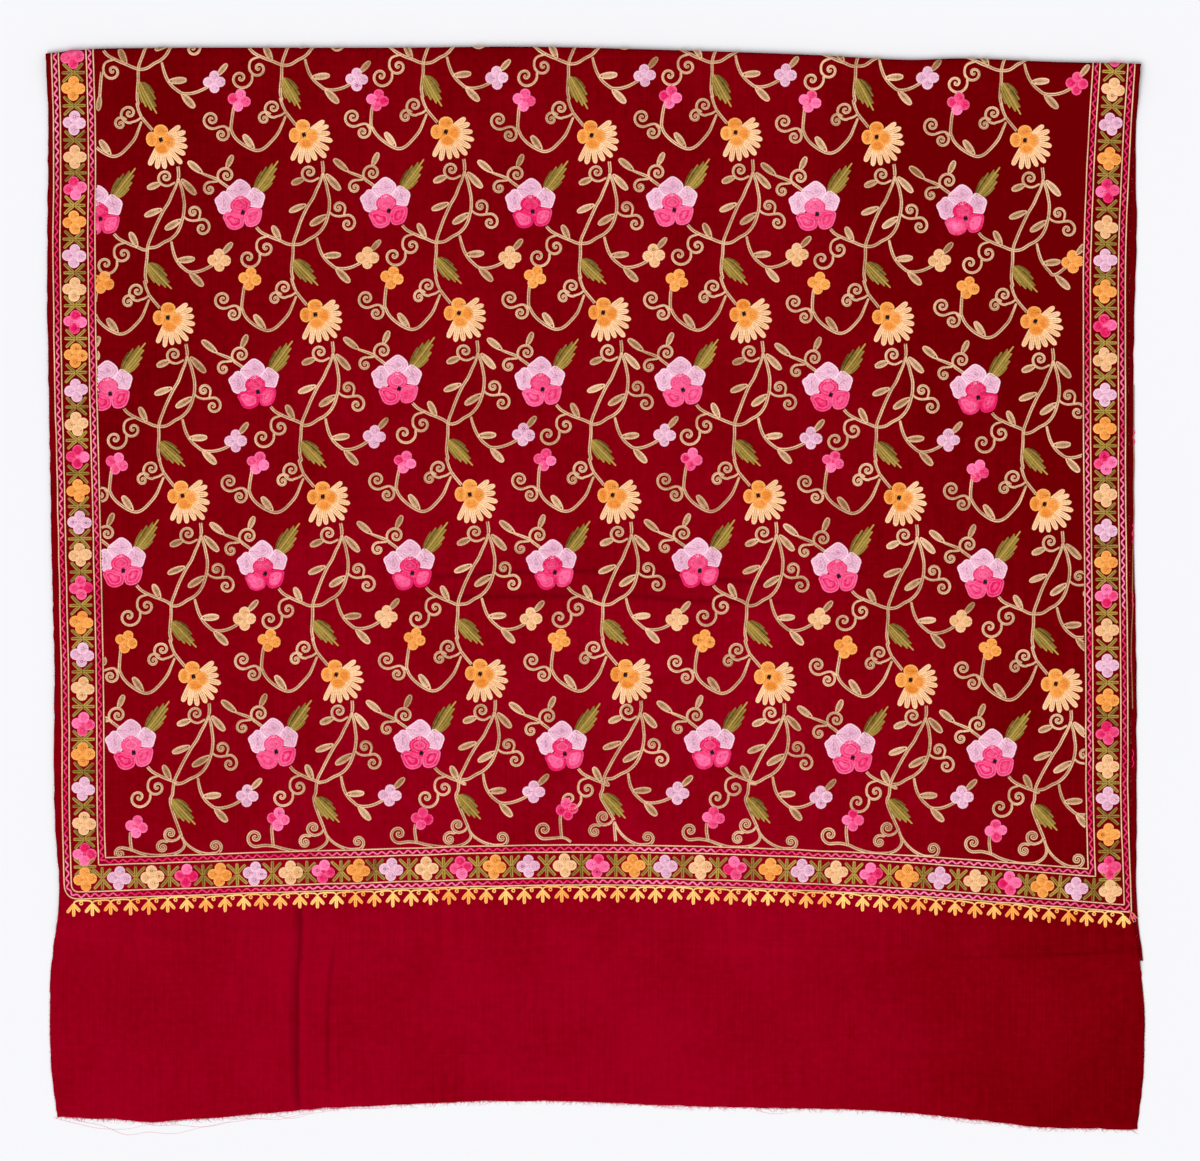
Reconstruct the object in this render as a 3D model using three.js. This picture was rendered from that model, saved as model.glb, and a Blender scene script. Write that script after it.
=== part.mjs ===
// A wide embroidered wool shawl, folded once across its length and laid flat.
//
// Units are millimetres. +X runs across the cloth to the right, +Y runs towards the fold and +Z is up.
// The shawl rests on z = 0. The under layer lies flat on that plane, the upper layer lies on the under
// layer, and past the end of the under layer the upper one drops to the plane too.
//
// A place on the cloth is given by two cloth coordinates: "across", from the left selvedge, and
// "along", from the crest of the fold. Short tables say where the cloth's four edges lie.

import * as THREE from 'three';

// ---- Driving dimensions -------------------------------------------------------------------------

const CLOTH_WIDTH = 1016;      // selvedge to selvedge, 40 inches
const FRONT_LENGTH = 995;      // fold crest to the raw end of the upper layer
const BACK_LENGTH = 838;       // fold crest to the raw end of the under layer, at mid width
const CLOTH_WALL = 1.2;        // woollen cloth with its embroidery's backing threads
const LAYER_GAP = 0.3;         // between the two layers
const SEAM_GAP = 0.3;          // between two stretches of the cloth

const FOLD_HEIGHT = 7;         // the bend stays lofted, it isn't pressed flat
const FOLD_NOSE = 5;           // depth of the rounded bend
const FOLD_SEAM = 34;          // where the fold's solid ends and the two layers begin
const SWELL_REACH = 64;        // how far from the crest the upper layer stays lifted

const STEP_CLEARANCE = 2;      // past the under layer's end before the upper layer starts to drop
const STEP_RUN = 14;           // length of that drop
const STEP_START_EASE = 190;   // rows of the mesh turn to follow the under layer's end from here on
const BACK_INSET = 6;          // the under layer lies this much to the right of the upper one
const BACK_INSET_RUN = 120;    // and gets there over this length from the crest

const COLUMN_SPACING = 44;
const ROW_SPACING = 46;
const BACK_ROW_SPACING = 80;
const CREASE_STEPS = [-1.6, -0.8, -0.35, 0, 0.35, 0.8, 1.6];   // mesh lines over a crease, in widths
const BEND_STEPS = 10;
const FOLD_RUN_STEPS = 3;
const LINE_MERGE = 3;          // mesh lines closer than this become one

// ---- Where the laid cloth's edges lie -----------------------------------------------------------

// Left selvedge of the upper layer: x at each y.
const LEFT_SELVEDGE = [
  { y: 499, x: -513 },
  { y: 435, x: -511 },
  { y: 276, x: -511.9 },
  { y: 176, x: -510.2 },
  { y: 8, x: -507 },
  { y: -62, x: -505.4 },
  { y: -215, x: -504.8 },
  { y: -285, x: -500.5 },
  { y: -352, x: -508 },
  { y: -400, x: -509.6 },
  { y: -447, x: -508.3 },
  { y: -494, x: -502.5 },
];

// Right selvedge of the upper layer: x at each y.
const FRONT_RIGHT_SELVEDGE = [
  { y: 490, x: 509.4 },
  { y: 419, x: 503.2 },
  { y: 335, x: 499 },
  { y: 216, x: 498 },
  { y: 80, x: 498 },
  { y: -62, x: 499.4 },
  { y: -198, x: 499.6 },
  { y: -290, x: 500.8 },
  { y: -348, x: 508.4 },
  { y: -387, x: 512.4 },
  { y: -425, x: 513 },
  { y: -460, x: 511.2 },
  { y: -506, x: 505.8 },
];

// Right selvedge of the under layer, which shows as a narrow strip beside the upper one: x at each y.
const BACK_RIGHT_SELVEDGE = [
  { y: 490, x: 509.4 },
  { y: 419, x: 504.8 },
  { y: 340, x: 505.6 },
  { y: 216, x: 502.6 },
  { y: 80, x: 502.6 },
  { y: -62, x: 505 },
  { y: -198, x: 505.8 },
  { y: -300, x: 506 },
  { y: -348, x: 511.4 },
];

// Crest of the fold: y at each distance across the cloth.
const FOLD_CREST = [
  { across: 0, y: 499.2 },
  { across: 55, y: 503.8 },
  { across: 330, y: 504.6 },
  { across: 445, y: 505.5 },
  { across: 565, y: 502.8 },
  { across: 705, y: 498.1 },
  { across: 800, y: 493.2 },
  { across: 850, y: 494.6 },
  { across: 935, y: 491.4 },
  { across: 1016, y: 489.6 },
];

// Raw end of the upper layer: y at each distance across the cloth.
const RAW_END = [
  { across: 0, y: -493.6 },
  { across: 50, y: -495.8 },
  { across: 97, y: -498 },
  { across: 190, y: -490.6 },
  { across: 285, y: -483.6 },
  { across: 450, y: -478.6 },
  { across: 600, y: -484 },
  { across: 775, y: -488.2 },
  { across: 885, y: -499 },
  { across: 920, y: -503 },
  { across: 1016, y: -505.5 },
];

// Raw end of the under layer: distance from the crest at each distance across the cloth.
const BACK_END = [
  { across: 0, along: 815 },
  { across: 240, along: 826 },
  { across: 510, along: BACK_LENGTH },
  { across: 790, along: BACK_LENGTH },
  { across: 930, along: 831 },
  { across: 1016, along: BACK_LENGTH },
];

// The main creases of the upper layer, each a soft ridge. A "long" crease runs along the cloth and a
// "cross" crease runs over it; "at" is its place and "from" and "to" are its ends, in cloth coordinates.
const CREASES = [
  { name: 'press line', run: 'long', at: 238, from: -40, to: 1040, width: 9, height: 1.1 },
  { name: 'end pleat', run: 'long', at: 266, from: 790, to: 1040, width: 6, height: 0.7 },
  { name: 'upper press line', run: 'cross', at: 490, from: 300, to: 720, width: 7, height: 0.9 },
  { name: 'lower press line', run: 'cross', at: 513, from: 330, to: 700, width: 7, height: 0.8 },
];
const CREASE_FADE = 70;        // a crease dies away over this length at each end

const CRIMSON_WOOL = { color: 0x8e0117, roughness: 0.92, metalness: 0 };
const WRONG_SIDE_WOOL = { color: 0x74010f, roughness: 0.95, metalness: 0 };

// ---- Small maths --------------------------------------------------------------------------------

const lerp = THREE.MathUtils.lerp;

/** Eases from 0 to 1 as value goes from low to high. */
function ease(value, low, high) {
  return THREE.MathUtils.smoothstep(value, low, high);
}

/** Reads a table's column at a place in its key column, on a smooth curve through its rows. */
function readTable(rows, key, column, place) {
  const rising = rows[0][key] < rows[rows.length - 1][key];
  const ordered = rising ? rows : rows.slice().reverse();
  const last = ordered.length - 1;
  const at = THREE.MathUtils.clamp(place, ordered[0][key], ordered[last][key]);
  let index = 0;
  while (index < last - 1 && ordered[index + 1][key] < at) {
    index += 1;
  }
  const slope = (row) => {
    const before = ordered[Math.max(row - 1, 0)];
    const after = ordered[Math.min(row + 1, last)];
    return (after[column] - before[column]) / (after[key] - before[key]);
  };
  const start = ordered[index];
  const end = ordered[index + 1];
  const span = end[key] - start[key];
  const t = (at - start[key]) / span;
  const t2 = t * t;
  const t3 = t2 * t;
  const startPart = (2 * t3 - 3 * t2 + 1) * start[column] + (t3 - 2 * t2 + t) * span * slope(index);
  const endPart = (3 * t2 - 2 * t3) * end[column] + (t3 - t2) * span * slope(index + 1);
  return startPart + endPart;
}

/** Evenly spaced mesh lines from one place to another, with extra lines over each crease. */
function meshLines(from, to, spacing, creases) {
  const count = Math.ceil((to - from) / spacing);
  const fixed = creases.flatMap((crease) => CREASE_STEPS.map((step) => crease.at + step * crease.width));
  const inside = fixed.filter((place) => place > from + LINE_MERGE && place < to - LINE_MERGE);
  const lines = [from, ...inside, to].sort((a, b) => a - b);
  for (let index = 1; index < count; index += 1) {
    const place = lerp(from, to, index / count);
    const nearest = Math.min(...lines.map((line) => Math.abs(line - place)));
    if (nearest > spacing / 4) {
      lines.push(place);
    }
  }
  lines.sort((a, b) => a - b);
  return lines.filter((line, index) => index === 0 || line - lines[index - 1] > LINE_MERGE / 2);
}

// ---- The laid cloth -----------------------------------------------------------------------------

/** y of a place on the cloth: its length runs from the fold's crest to the raw end. */
function clothY(across, along) {
  const crest = readTable(FOLD_CREST, 'across', 'y', across);
  const end = readTable(RAW_END, 'across', 'y', across);
  return lerp(crest, end, along / FRONT_LENGTH);
}

/** x of a place on the upper layer: its width runs from selvedge to selvedge. */
function frontX(across, y) {
  const left = readTable(LEFT_SELVEDGE, 'y', 'x', y);
  const right = readTable(FRONT_RIGHT_SELVEDGE, 'y', 'x', y);
  return lerp(left, right, across / CLOTH_WIDTH);
}

/** x of a place on the under layer, which lies a little to the right of the upper one. */
function backX(across, along, y) {
  const inset = BACK_INSET * ease(along, 0, BACK_INSET_RUN);
  const left = readTable(LEFT_SELVEDGE, 'y', 'x', y) + inset;
  const right = readTable(BACK_RIGHT_SELVEDGE, 'y', 'x', y);
  return lerp(left, right, across / CLOTH_WIDTH);
}

/** Where the under layer ends, as a distance from the crest. */
function backEnd(across) {
  return readTable(BACK_END, 'across', 'along', across);
}

/** How far all the creases lift the upper layer at a place on it. */
function creaseLift(across, along) {
  let lift = 0;
  for (const crease of CREASES) {
    const side = crease.run === 'long' ? across - crease.at : along - crease.at;
    const way = crease.run === 'long' ? along : across;
    const fade = ease(way, crease.from, crease.from + CREASE_FADE) * (1 - ease(way, crease.to - CREASE_FADE, crease.to));
    lift += crease.height * fade * Math.exp(-((side / crease.width) ** 2));
  }
  return lift;
}

/** Height of the upper layer's underside: over the under layer, then down the step to the floor. */
function frontUnderside(across, along) {
  const swell = (FOLD_HEIGHT - 2 * CLOTH_WALL - LAYER_GAP) * (1 - ease(along, 0, SWELL_REACH));
  const stepStart = backEnd(across) + STEP_CLEARANCE;
  const onBack = 1 - ease(along, stepStart, stepStart + STEP_RUN);
  const edgeRest = ease(across, 0, COLUMN_SPACING) * (1 - ease(across, CLOTH_WIDTH - COLUMN_SPACING, CLOTH_WIDTH));
  const endRest = 1 - ease(along, FRONT_LENGTH - ROW_SPACING, FRONT_LENGTH);
  return (CLOTH_WALL + LAYER_GAP) * onBack + swell + creaseLift(across, along) * edgeRest * endRest;
}

/** Turns a mesh row of the upper layer so that rows near the step follow the under layer's end. */
function frontRow(across, nominal) {
  const stepEnd = BACK_LENGTH + STEP_CLEARANCE + STEP_RUN;
  const coming = ease(nominal, BACK_LENGTH - STEP_START_EASE, BACK_LENGTH);
  const going = 1 - ease(nominal, stepEnd, FRONT_LENGTH);
  return nominal + (backEnd(across) - BACK_LENGTH) * coming * going;
}

// ---- Building a wall of cloth -------------------------------------------------------------------

/**
 * Closes a wall of cloth between an upper and a lower skin.
 * Each skin is a function of a column and a row number that gives a THREE.Vector3.
 */
function clothWall(columns, rows, upper, lower) {
  const positions = [];
  const indices = [];
  const skinSize = columns * rows;
  for (const skin of [upper, lower]) {
    for (let row = 0; row < rows; row += 1) {
      for (let column = 0; column < columns; column += 1) {
        const point = skin(column, row);
        positions.push(point.x, point.y, point.z);
      }
    }
  }
  const at = (column, row, skin) => skin * skinSize + row * columns + column;
  const quad = (a, b, c, d) => indices.push(a, b, c, a, c, d);
  for (let row = 0; row < rows - 1; row += 1) {
    for (let column = 0; column < columns - 1; column += 1) {
      quad(at(column, row, 0), at(column, row + 1, 0), at(column + 1, row + 1, 0), at(column + 1, row, 0));
      quad(at(column, row, 1), at(column + 1, row, 1), at(column + 1, row + 1, 1), at(column, row + 1, 1));
    }
  }
  for (let row = 0; row < rows - 1; row += 1) {
    const end = columns - 1;
    quad(at(0, row, 0), at(0, row, 1), at(0, row + 1, 1), at(0, row + 1, 0));
    quad(at(end, row, 0), at(end, row + 1, 0), at(end, row + 1, 1), at(end, row, 1));
  }
  for (let column = 0; column < columns - 1; column += 1) {
    const end = rows - 1;
    quad(at(column, 0, 0), at(column + 1, 0, 0), at(column + 1, 0, 1), at(column, 0, 1));
    quad(at(column, end, 0), at(column, end, 1), at(column + 1, end, 1), at(column + 1, end, 0));
  }
  const geometry = new THREE.BufferGeometry();
  geometry.setAttribute('position', new THREE.Float32BufferAttribute(positions, 3));
  geometry.setIndex(indices);
  geometry.computeVertexNormals();
  return geometry;
}

function namedMesh(name, geometry, finish) {
  const mesh = new THREE.Mesh(geometry, new THREE.MeshStandardMaterial(finish));
  mesh.name = name;
  return mesh;
}

// ---- The three stretches ------------------------------------------------------------------------

const longCreases = CREASES.filter((crease) => crease.run === 'long');
const crossCreases = CREASES.filter((crease) => crease.run === 'cross');
const COLUMNS = meshLines(0, CLOTH_WIDTH, COLUMN_SPACING, longCreases);

/** Upper layer: from the fold, over the under layer, down the step and out to the raw end. */
function makeFront() {
  const stepStart = BACK_LENGTH + STEP_CLEARANCE;
  const step = { at: stepStart + STEP_RUN / 2, width: STEP_RUN / 3.2 };
  const rows = meshLines(FOLD_SEAM + SEAM_GAP, FRONT_LENGTH, ROW_SPACING, [...crossCreases, step]);
  const skin = (lift) => (column, row) => {
    const across = COLUMNS[column];
    const along = frontRow(across, rows[row]);
    const y = clothY(across, along);
    return new THREE.Vector3(frontX(across, y), y, frontUnderside(across, along) + lift);
  };
  return namedMesh('shawl_front', clothWall(COLUMNS.length, rows.length, skin(CLOTH_WALL), skin(0)), CRIMSON_WOOL);
}

/** Under layer: flat on the floor from the fold to its own raw end. */
function makeBack() {
  const rows = meshLines(FOLD_SEAM + SEAM_GAP, BACK_LENGTH, BACK_ROW_SPACING, []);
  const skin = (height) => (column, row) => {
    const across = COLUMNS[column];
    const along = frontRow(across, rows[row]);
    const y = clothY(across, along);
    return new THREE.Vector3(backX(across, along, y), y, height);
  };
  return namedMesh('shawl_back', clothWall(COLUMNS.length, rows.length, skin(CLOTH_WALL), skin(0)), WRONG_SIDE_WOOL);
}

/**
 * Middle of the wall in the fold's cross-section: back along the under layer, round the bend and out
 * along the upper layer. side goes from 0 on the under layer to 1 on the upper one.
 */
function foldSection(across, stepIndex) {
  const floorLevel = CLOTH_WALL / 2;
  const bendAt = FOLD_NOSE + CLOTH_WALL / 2;
  const runStep = (FOLD_SEAM - bendAt) / FOLD_RUN_STEPS;
  if (stepIndex < FOLD_RUN_STEPS) {
    return { along: FOLD_SEAM - stepIndex * runStep, height: floorLevel, side: 0 };
  }
  if (stepIndex > FOLD_RUN_STEPS + BEND_STEPS) {
    const along = bendAt + (stepIndex - FOLD_RUN_STEPS - BEND_STEPS) * runStep;
    return { along, height: frontUnderside(across, along) + CLOTH_WALL / 2, side: 1 };
  }
  const turn = (stepIndex - FOLD_RUN_STEPS) / BEND_STEPS;
  const angle = (turn - 0.5) * Math.PI;
  const top = frontUnderside(across, bendAt) + CLOTH_WALL / 2;
  const middle = (top + floorLevel) / 2;
  const radius = (top - floorLevel) / 2;
  return { along: bendAt - FOLD_NOSE * Math.cos(angle), height: middle + radius * Math.sin(angle), side: turn };
}

/** The bend that joins the two layers: a C-shaped wall, open at both selvedges. */
function makeFold() {
  const sectionSteps = 2 * FOLD_RUN_STEPS + BEND_STEPS;
  const skin = (outward) => (column, row) => {
    const across = COLUMNS[column];
    const here = foldSection(across, row);
    const before = foldSection(across, Math.max(row - 1, 0));
    const after = foldSection(across, Math.min(row + 1, sectionSteps));
    const atEnd = row === 0 || row === sectionSteps;
    const run = atEnd ? Math.sign(after.along - before.along) : after.along - before.along;
    const rise = atEnd ? 0 : after.height - before.height;
    const length = Math.hypot(run, rise);
    const along = here.along - (outward * rise) / length;
    const height = Math.max(here.height + (outward * run) / length, 0);
    const y = clothY(across, along);
    const x = lerp(backX(across, along, y), frontX(across, y), here.side);
    return new THREE.Vector3(x, y, height);
  };
  const wall = clothWall(COLUMNS.length, sectionSteps + 1, skin(CLOTH_WALL / 2), skin(-CLOTH_WALL / 2));
  return namedMesh('shawl_fold', wall, CRIMSON_WOOL);
}

const shawl = new THREE.Group();
shawl.name = 'embroidered_shawl';
shawl.add(makeFront(), makeFold(), makeBack());

export default shawl;
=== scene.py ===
"""Looks of a wide wool shawl with chain-stitch embroidery, folded once and laid flat.

Sizes are in millimetres until a mesh is made. +X runs across the cloth, +Y towards the fold and +Z up.
A place on the cloth is "across", from its left selvedge, and "along", from the crest of the fold. Past
the crest "along" is negative: the cloth goes round the bend and back on the floor.
"""

import logging
import math
from collections.abc import Callable, Sequence
from dataclasses import dataclass, field, replace
from enum import Enum
from functools import cached_property

import bpy
import numpy as np
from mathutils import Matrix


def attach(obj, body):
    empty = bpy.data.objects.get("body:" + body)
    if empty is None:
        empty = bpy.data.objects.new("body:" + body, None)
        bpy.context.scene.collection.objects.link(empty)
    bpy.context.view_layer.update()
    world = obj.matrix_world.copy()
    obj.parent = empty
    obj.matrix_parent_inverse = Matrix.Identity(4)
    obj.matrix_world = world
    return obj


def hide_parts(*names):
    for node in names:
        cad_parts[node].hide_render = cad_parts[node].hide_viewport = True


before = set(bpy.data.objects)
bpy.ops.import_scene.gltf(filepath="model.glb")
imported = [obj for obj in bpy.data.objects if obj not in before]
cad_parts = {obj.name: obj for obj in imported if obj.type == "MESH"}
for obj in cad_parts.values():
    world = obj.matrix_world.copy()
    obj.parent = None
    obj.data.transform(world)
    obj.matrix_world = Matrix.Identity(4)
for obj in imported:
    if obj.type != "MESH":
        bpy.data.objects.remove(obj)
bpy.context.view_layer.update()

LOG = logging.getLogger("shawl")
MM = 0.001
BAKE_START = 900.0
BAKE_LENGTH = 1900.0
Pair = tuple[float, float]
Points = Sequence[Pair]
Rgb = tuple[float, float, float]
Array = np.ndarray
Material = bpy.types.Material
Socket = bpy.types.NodeSocket
Piece = bpy.types.Object


# ---- Small maths ----


def ease(value: Array, low: Array | float, high: Array | float) -> Array:
    """Eases from 0 to 1 as value goes from low to high."""
    t = np.clip((value - low) / (high - low), 0.0, 1.0)
    return t * t * (3.0 - 2.0 * t)


def lerp(a: Array | float, b: Array | float, t: Array | float) -> Array:
    """Goes from a to b as t goes from 0 to 1."""
    return a + (b - a) * t


def linear(colour: Rgb) -> tuple[float, float, float, float]:
    """Turns a display colour of 0 to 255 into a scene colour with alpha 1.

    Args:
        colour: The display colour.

    Returns:
        Red, green, blue and alpha.
    """
    parts = [c / 255.0 for c in colour]
    flat = [c / 12.92 if c <= 0.04045 else ((c + 0.055) / 1.055) ** 2.4 for c in parts]
    return (flat[0], flat[1], flat[2], 1.0)


def smooth_curve(points: Array, closed: bool = False, steps: int = 6) -> Array:
    """Draws a smooth curve through points.

    Args:
        points: Points to pass through, one a row.
        closed: Whether the curve comes back to its first point.
        steps: Curve points for each stretch between two given ones.

    Returns:
        The curve's points, with the first one again at the end if it is closed.
    """
    if closed:
        ring = np.vstack([points[-1], points, points[0], points[1]])
    elif len(points) < 3:
        return points
    else:
        ring = np.vstack([2 * points[0] - points[1], points, 2 * points[-1] - points[-2]])
    before, start, end, after = ring[:-3], ring[1:-2], ring[2:-1], ring[3:]
    t = np.linspace(0.0, 1.0, steps, endpoint=False)[None, :, None]
    before, start, end, after = (part[:, None, :] for part in (before, start, end, after))
    curve = 0.5 * (
        2 * start
        + (end - before) * t
        + (2 * before - 5 * start + 4 * end - after) * t**2
        + (3 * start - before - 3 * end + after) * t**3
    )
    last = points[:1] if closed else points[-1:]
    return np.vstack([curve.reshape(-1, 2), last])


def beside(*parts: Array) -> Array:
    """Sets parts side by side, as the columns of one array."""
    return np.stack(parts, axis=1)


def unit(rows: Array) -> Array:
    """Each row made one long."""
    return rows / np.maximum(np.linalg.norm(rows, axis=1, keepdims=True), 1e-9)


def sideways(curve: Array) -> Array:
    """Unit normals of a plan curve, to the left of its direction."""
    run = unit(np.gradient(curve, axis=0))
    return beside(-run[:, 1], run[:, 0])


def crossways(run: Array) -> Array:
    """A plan direction turned a quarter to the left."""
    return np.array([-run[1], run[0]])


def lengths(path: Array) -> Array:
    """How far along a path each of its points is."""
    return np.concatenate([[0.0], np.cumsum(np.linalg.norm(np.diff(path, axis=0), axis=1))])


def between(at: Array, places: Array, values: Array) -> Array:
    """Rows of values at some places, in straight lines between those given."""
    return beside(*(np.interp(at, places, column) for column in values.T))


def rise_and_fall(value: Array, start: float, end: float, fade: float) -> Array:
    """Eases from 0 to 1 past start, and back to 0 before end."""
    return ease(value, start, start + fade) * (1 - ease(value, end - fade, end))


@dataclass(frozen=True)
class Edge:
    """An edge or a line of the laid cloth: rows of (place, value), read on a smooth curve."""

    rows: tuple[Pair, ...]

    def read(self, at: Array) -> Array:
        """Values at some places.

        Args:
            at: The places.

        Returns:
            Their values.
        """
        table = np.array(sorted(self.rows))
        key, value = table[:, 0], table[:, 1]
        count = len(key)
        at = np.clip(at, key[0], key[-1])
        row = np.clip(np.searchsorted(key, at, side="left") - 1, 0, count - 2)
        low = np.maximum(np.arange(count) - 1, 0)
        high = np.minimum(np.arange(count) + 1, count - 1)
        slope = (value[high] - value[low]) / (key[high] - key[low])
        span = key[row + 1] - key[row]
        t = (at - key[row]) / span
        start = (2 * t**3 - 3 * t**2 + 1) * value[row] + (t**3 - 2 * t**2 + t) * span * slope[row]
        end = (3 * t**2 - 2 * t**3) * value[row + 1] + (t**3 - t**2) * span * slope[row + 1]
        return start + end

    def at(self, place: float) -> float:
        """The value at one place."""
        return float(self.read(np.array([place]))[0])


@dataclass(frozen=True)
class SoftNoise:
    """Smooth seeded unevenness from -1 to 1, with one random height in each cell of a grid."""

    seed: int
    cell_x: float
    cell_y: float
    reach: float = 1400.0

    def read(self, x: Array, y: Array) -> Array:
        """Heights at some places.

        Args:
            x: Plan x.
            y: Plan y.

        Returns:
            Heights from -1 to 1.
        """
        columns = int(2 * self.reach / self.cell_x) + 3
        rows = int(2 * self.reach / self.cell_y) + 3
        grid = np.random.default_rng(self.seed).uniform(-1.0, 1.0, (rows, columns))
        u = np.clip((x + self.reach) / self.cell_x, 0, columns - 2.001)
        v = np.clip((y + self.reach) / self.cell_y, 0, rows - 2.001)
        i, j = u.astype(int), v.astype(int)
        s, t = u - i, v - j
        s, t = s * s * (3 - 2 * s), t * t * (3 - 2 * t)
        near = lerp(grid[j, i], grid[j, i + 1], s)
        far = lerp(grid[j + 1, i], grid[j + 1, i + 1], s)
        return lerp(near, far, t)


# ---- The laid cloth ----


class Run(Enum):
    """Which way a pressed crease runs over the cloth."""

    LONG = "along the cloth"
    CROSS = "across the cloth"


@dataclass(frozen=True)
class Crease:
    """A soft ridge from pressing and packing, in cloth coordinates."""

    run: Run
    at: float
    start: float
    end: float
    width: float
    height: float
    fade: float = 70.0

    def lift(self, across: Array, along: Array) -> Array:
        """How far the crease lifts the cloth.

        Args:
            across: From the left selvedge.
            along: From the crest.

        Returns:
            Millimetres.
        """
        side, way = (across, along) if self.run is Run.LONG else (along, across)
        ends = rise_and_fall(way, self.start, self.end, self.fade)
        return self.height * ends * np.exp(-(((side - self.at) / self.width) ** 2))


@dataclass(frozen=True)
class Wrinkle:
    """A shallow wrinkle between two plan points."""

    start: Pair
    end: Pair
    width: float
    height: float

    def lift(self, x: Array, y: Array) -> Array:
        """How far the wrinkle lifts the cloth.

        Args:
            x: Plan x.
            y: Plan y.

        Returns:
            Millimetres.
        """
        ax, ay = self.start
        dx, dy = self.end[0] - ax, self.end[1] - ay
        t = ((x - ax) * dx + (y - ay) * dy) / (dx * dx + dy * dy)
        inside = np.clip(t, 0.0, 1.0)
        gap = np.hypot(x - ax - dx * inside, y - ay - dy * inside)
        ends = ease(t, -0.05, 0.3) * (1 - ease(t, 0.7, 1.05))
        return self.height * ends * np.exp(-((gap / self.width) ** 2))


@dataclass(frozen=True)
class CreaseShadeLine:
    """A pressed crease line through some plan points, along which painted shade makes the cloth a little
    darker than beside it.
    """

    points: Points
    width: float
    painted_shading: float
    fade: float = 22.0

    def read(self, x: Array, y: Array) -> Array:
        """How much painted shade darkens the cloth at some places.

        Args:
            x: Plan x.
            y: Plan y.

        Returns:
            The share of its brightness that it loses.
        """
        path = smooth_curve(np.array(self.points), steps=5)
        run = lengths(path)
        best, place = np.full(x.shape, 1e9), np.zeros(x.shape)
        for (ax, ay), (bx, by), start, end in zip(path[:-1], path[1:], run[:-1], run[1:], strict=True):
            dx, dy = bx - ax, by - ay
            t = np.clip(((x - ax) * dx + (y - ay) * dy) / (dx * dx + dy * dy), 0.0, 1.0)
            gap = np.hypot(x - ax - dx * t, y - ay - dy * t)
            place = np.where(gap < best, lerp(start, end, t), place)
            best = np.minimum(best, gap)
        ends = rise_and_fall(place, 0, run[-1], self.fade)
        return self.painted_shading * ends * np.exp(-((best / self.width) ** 2))


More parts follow.
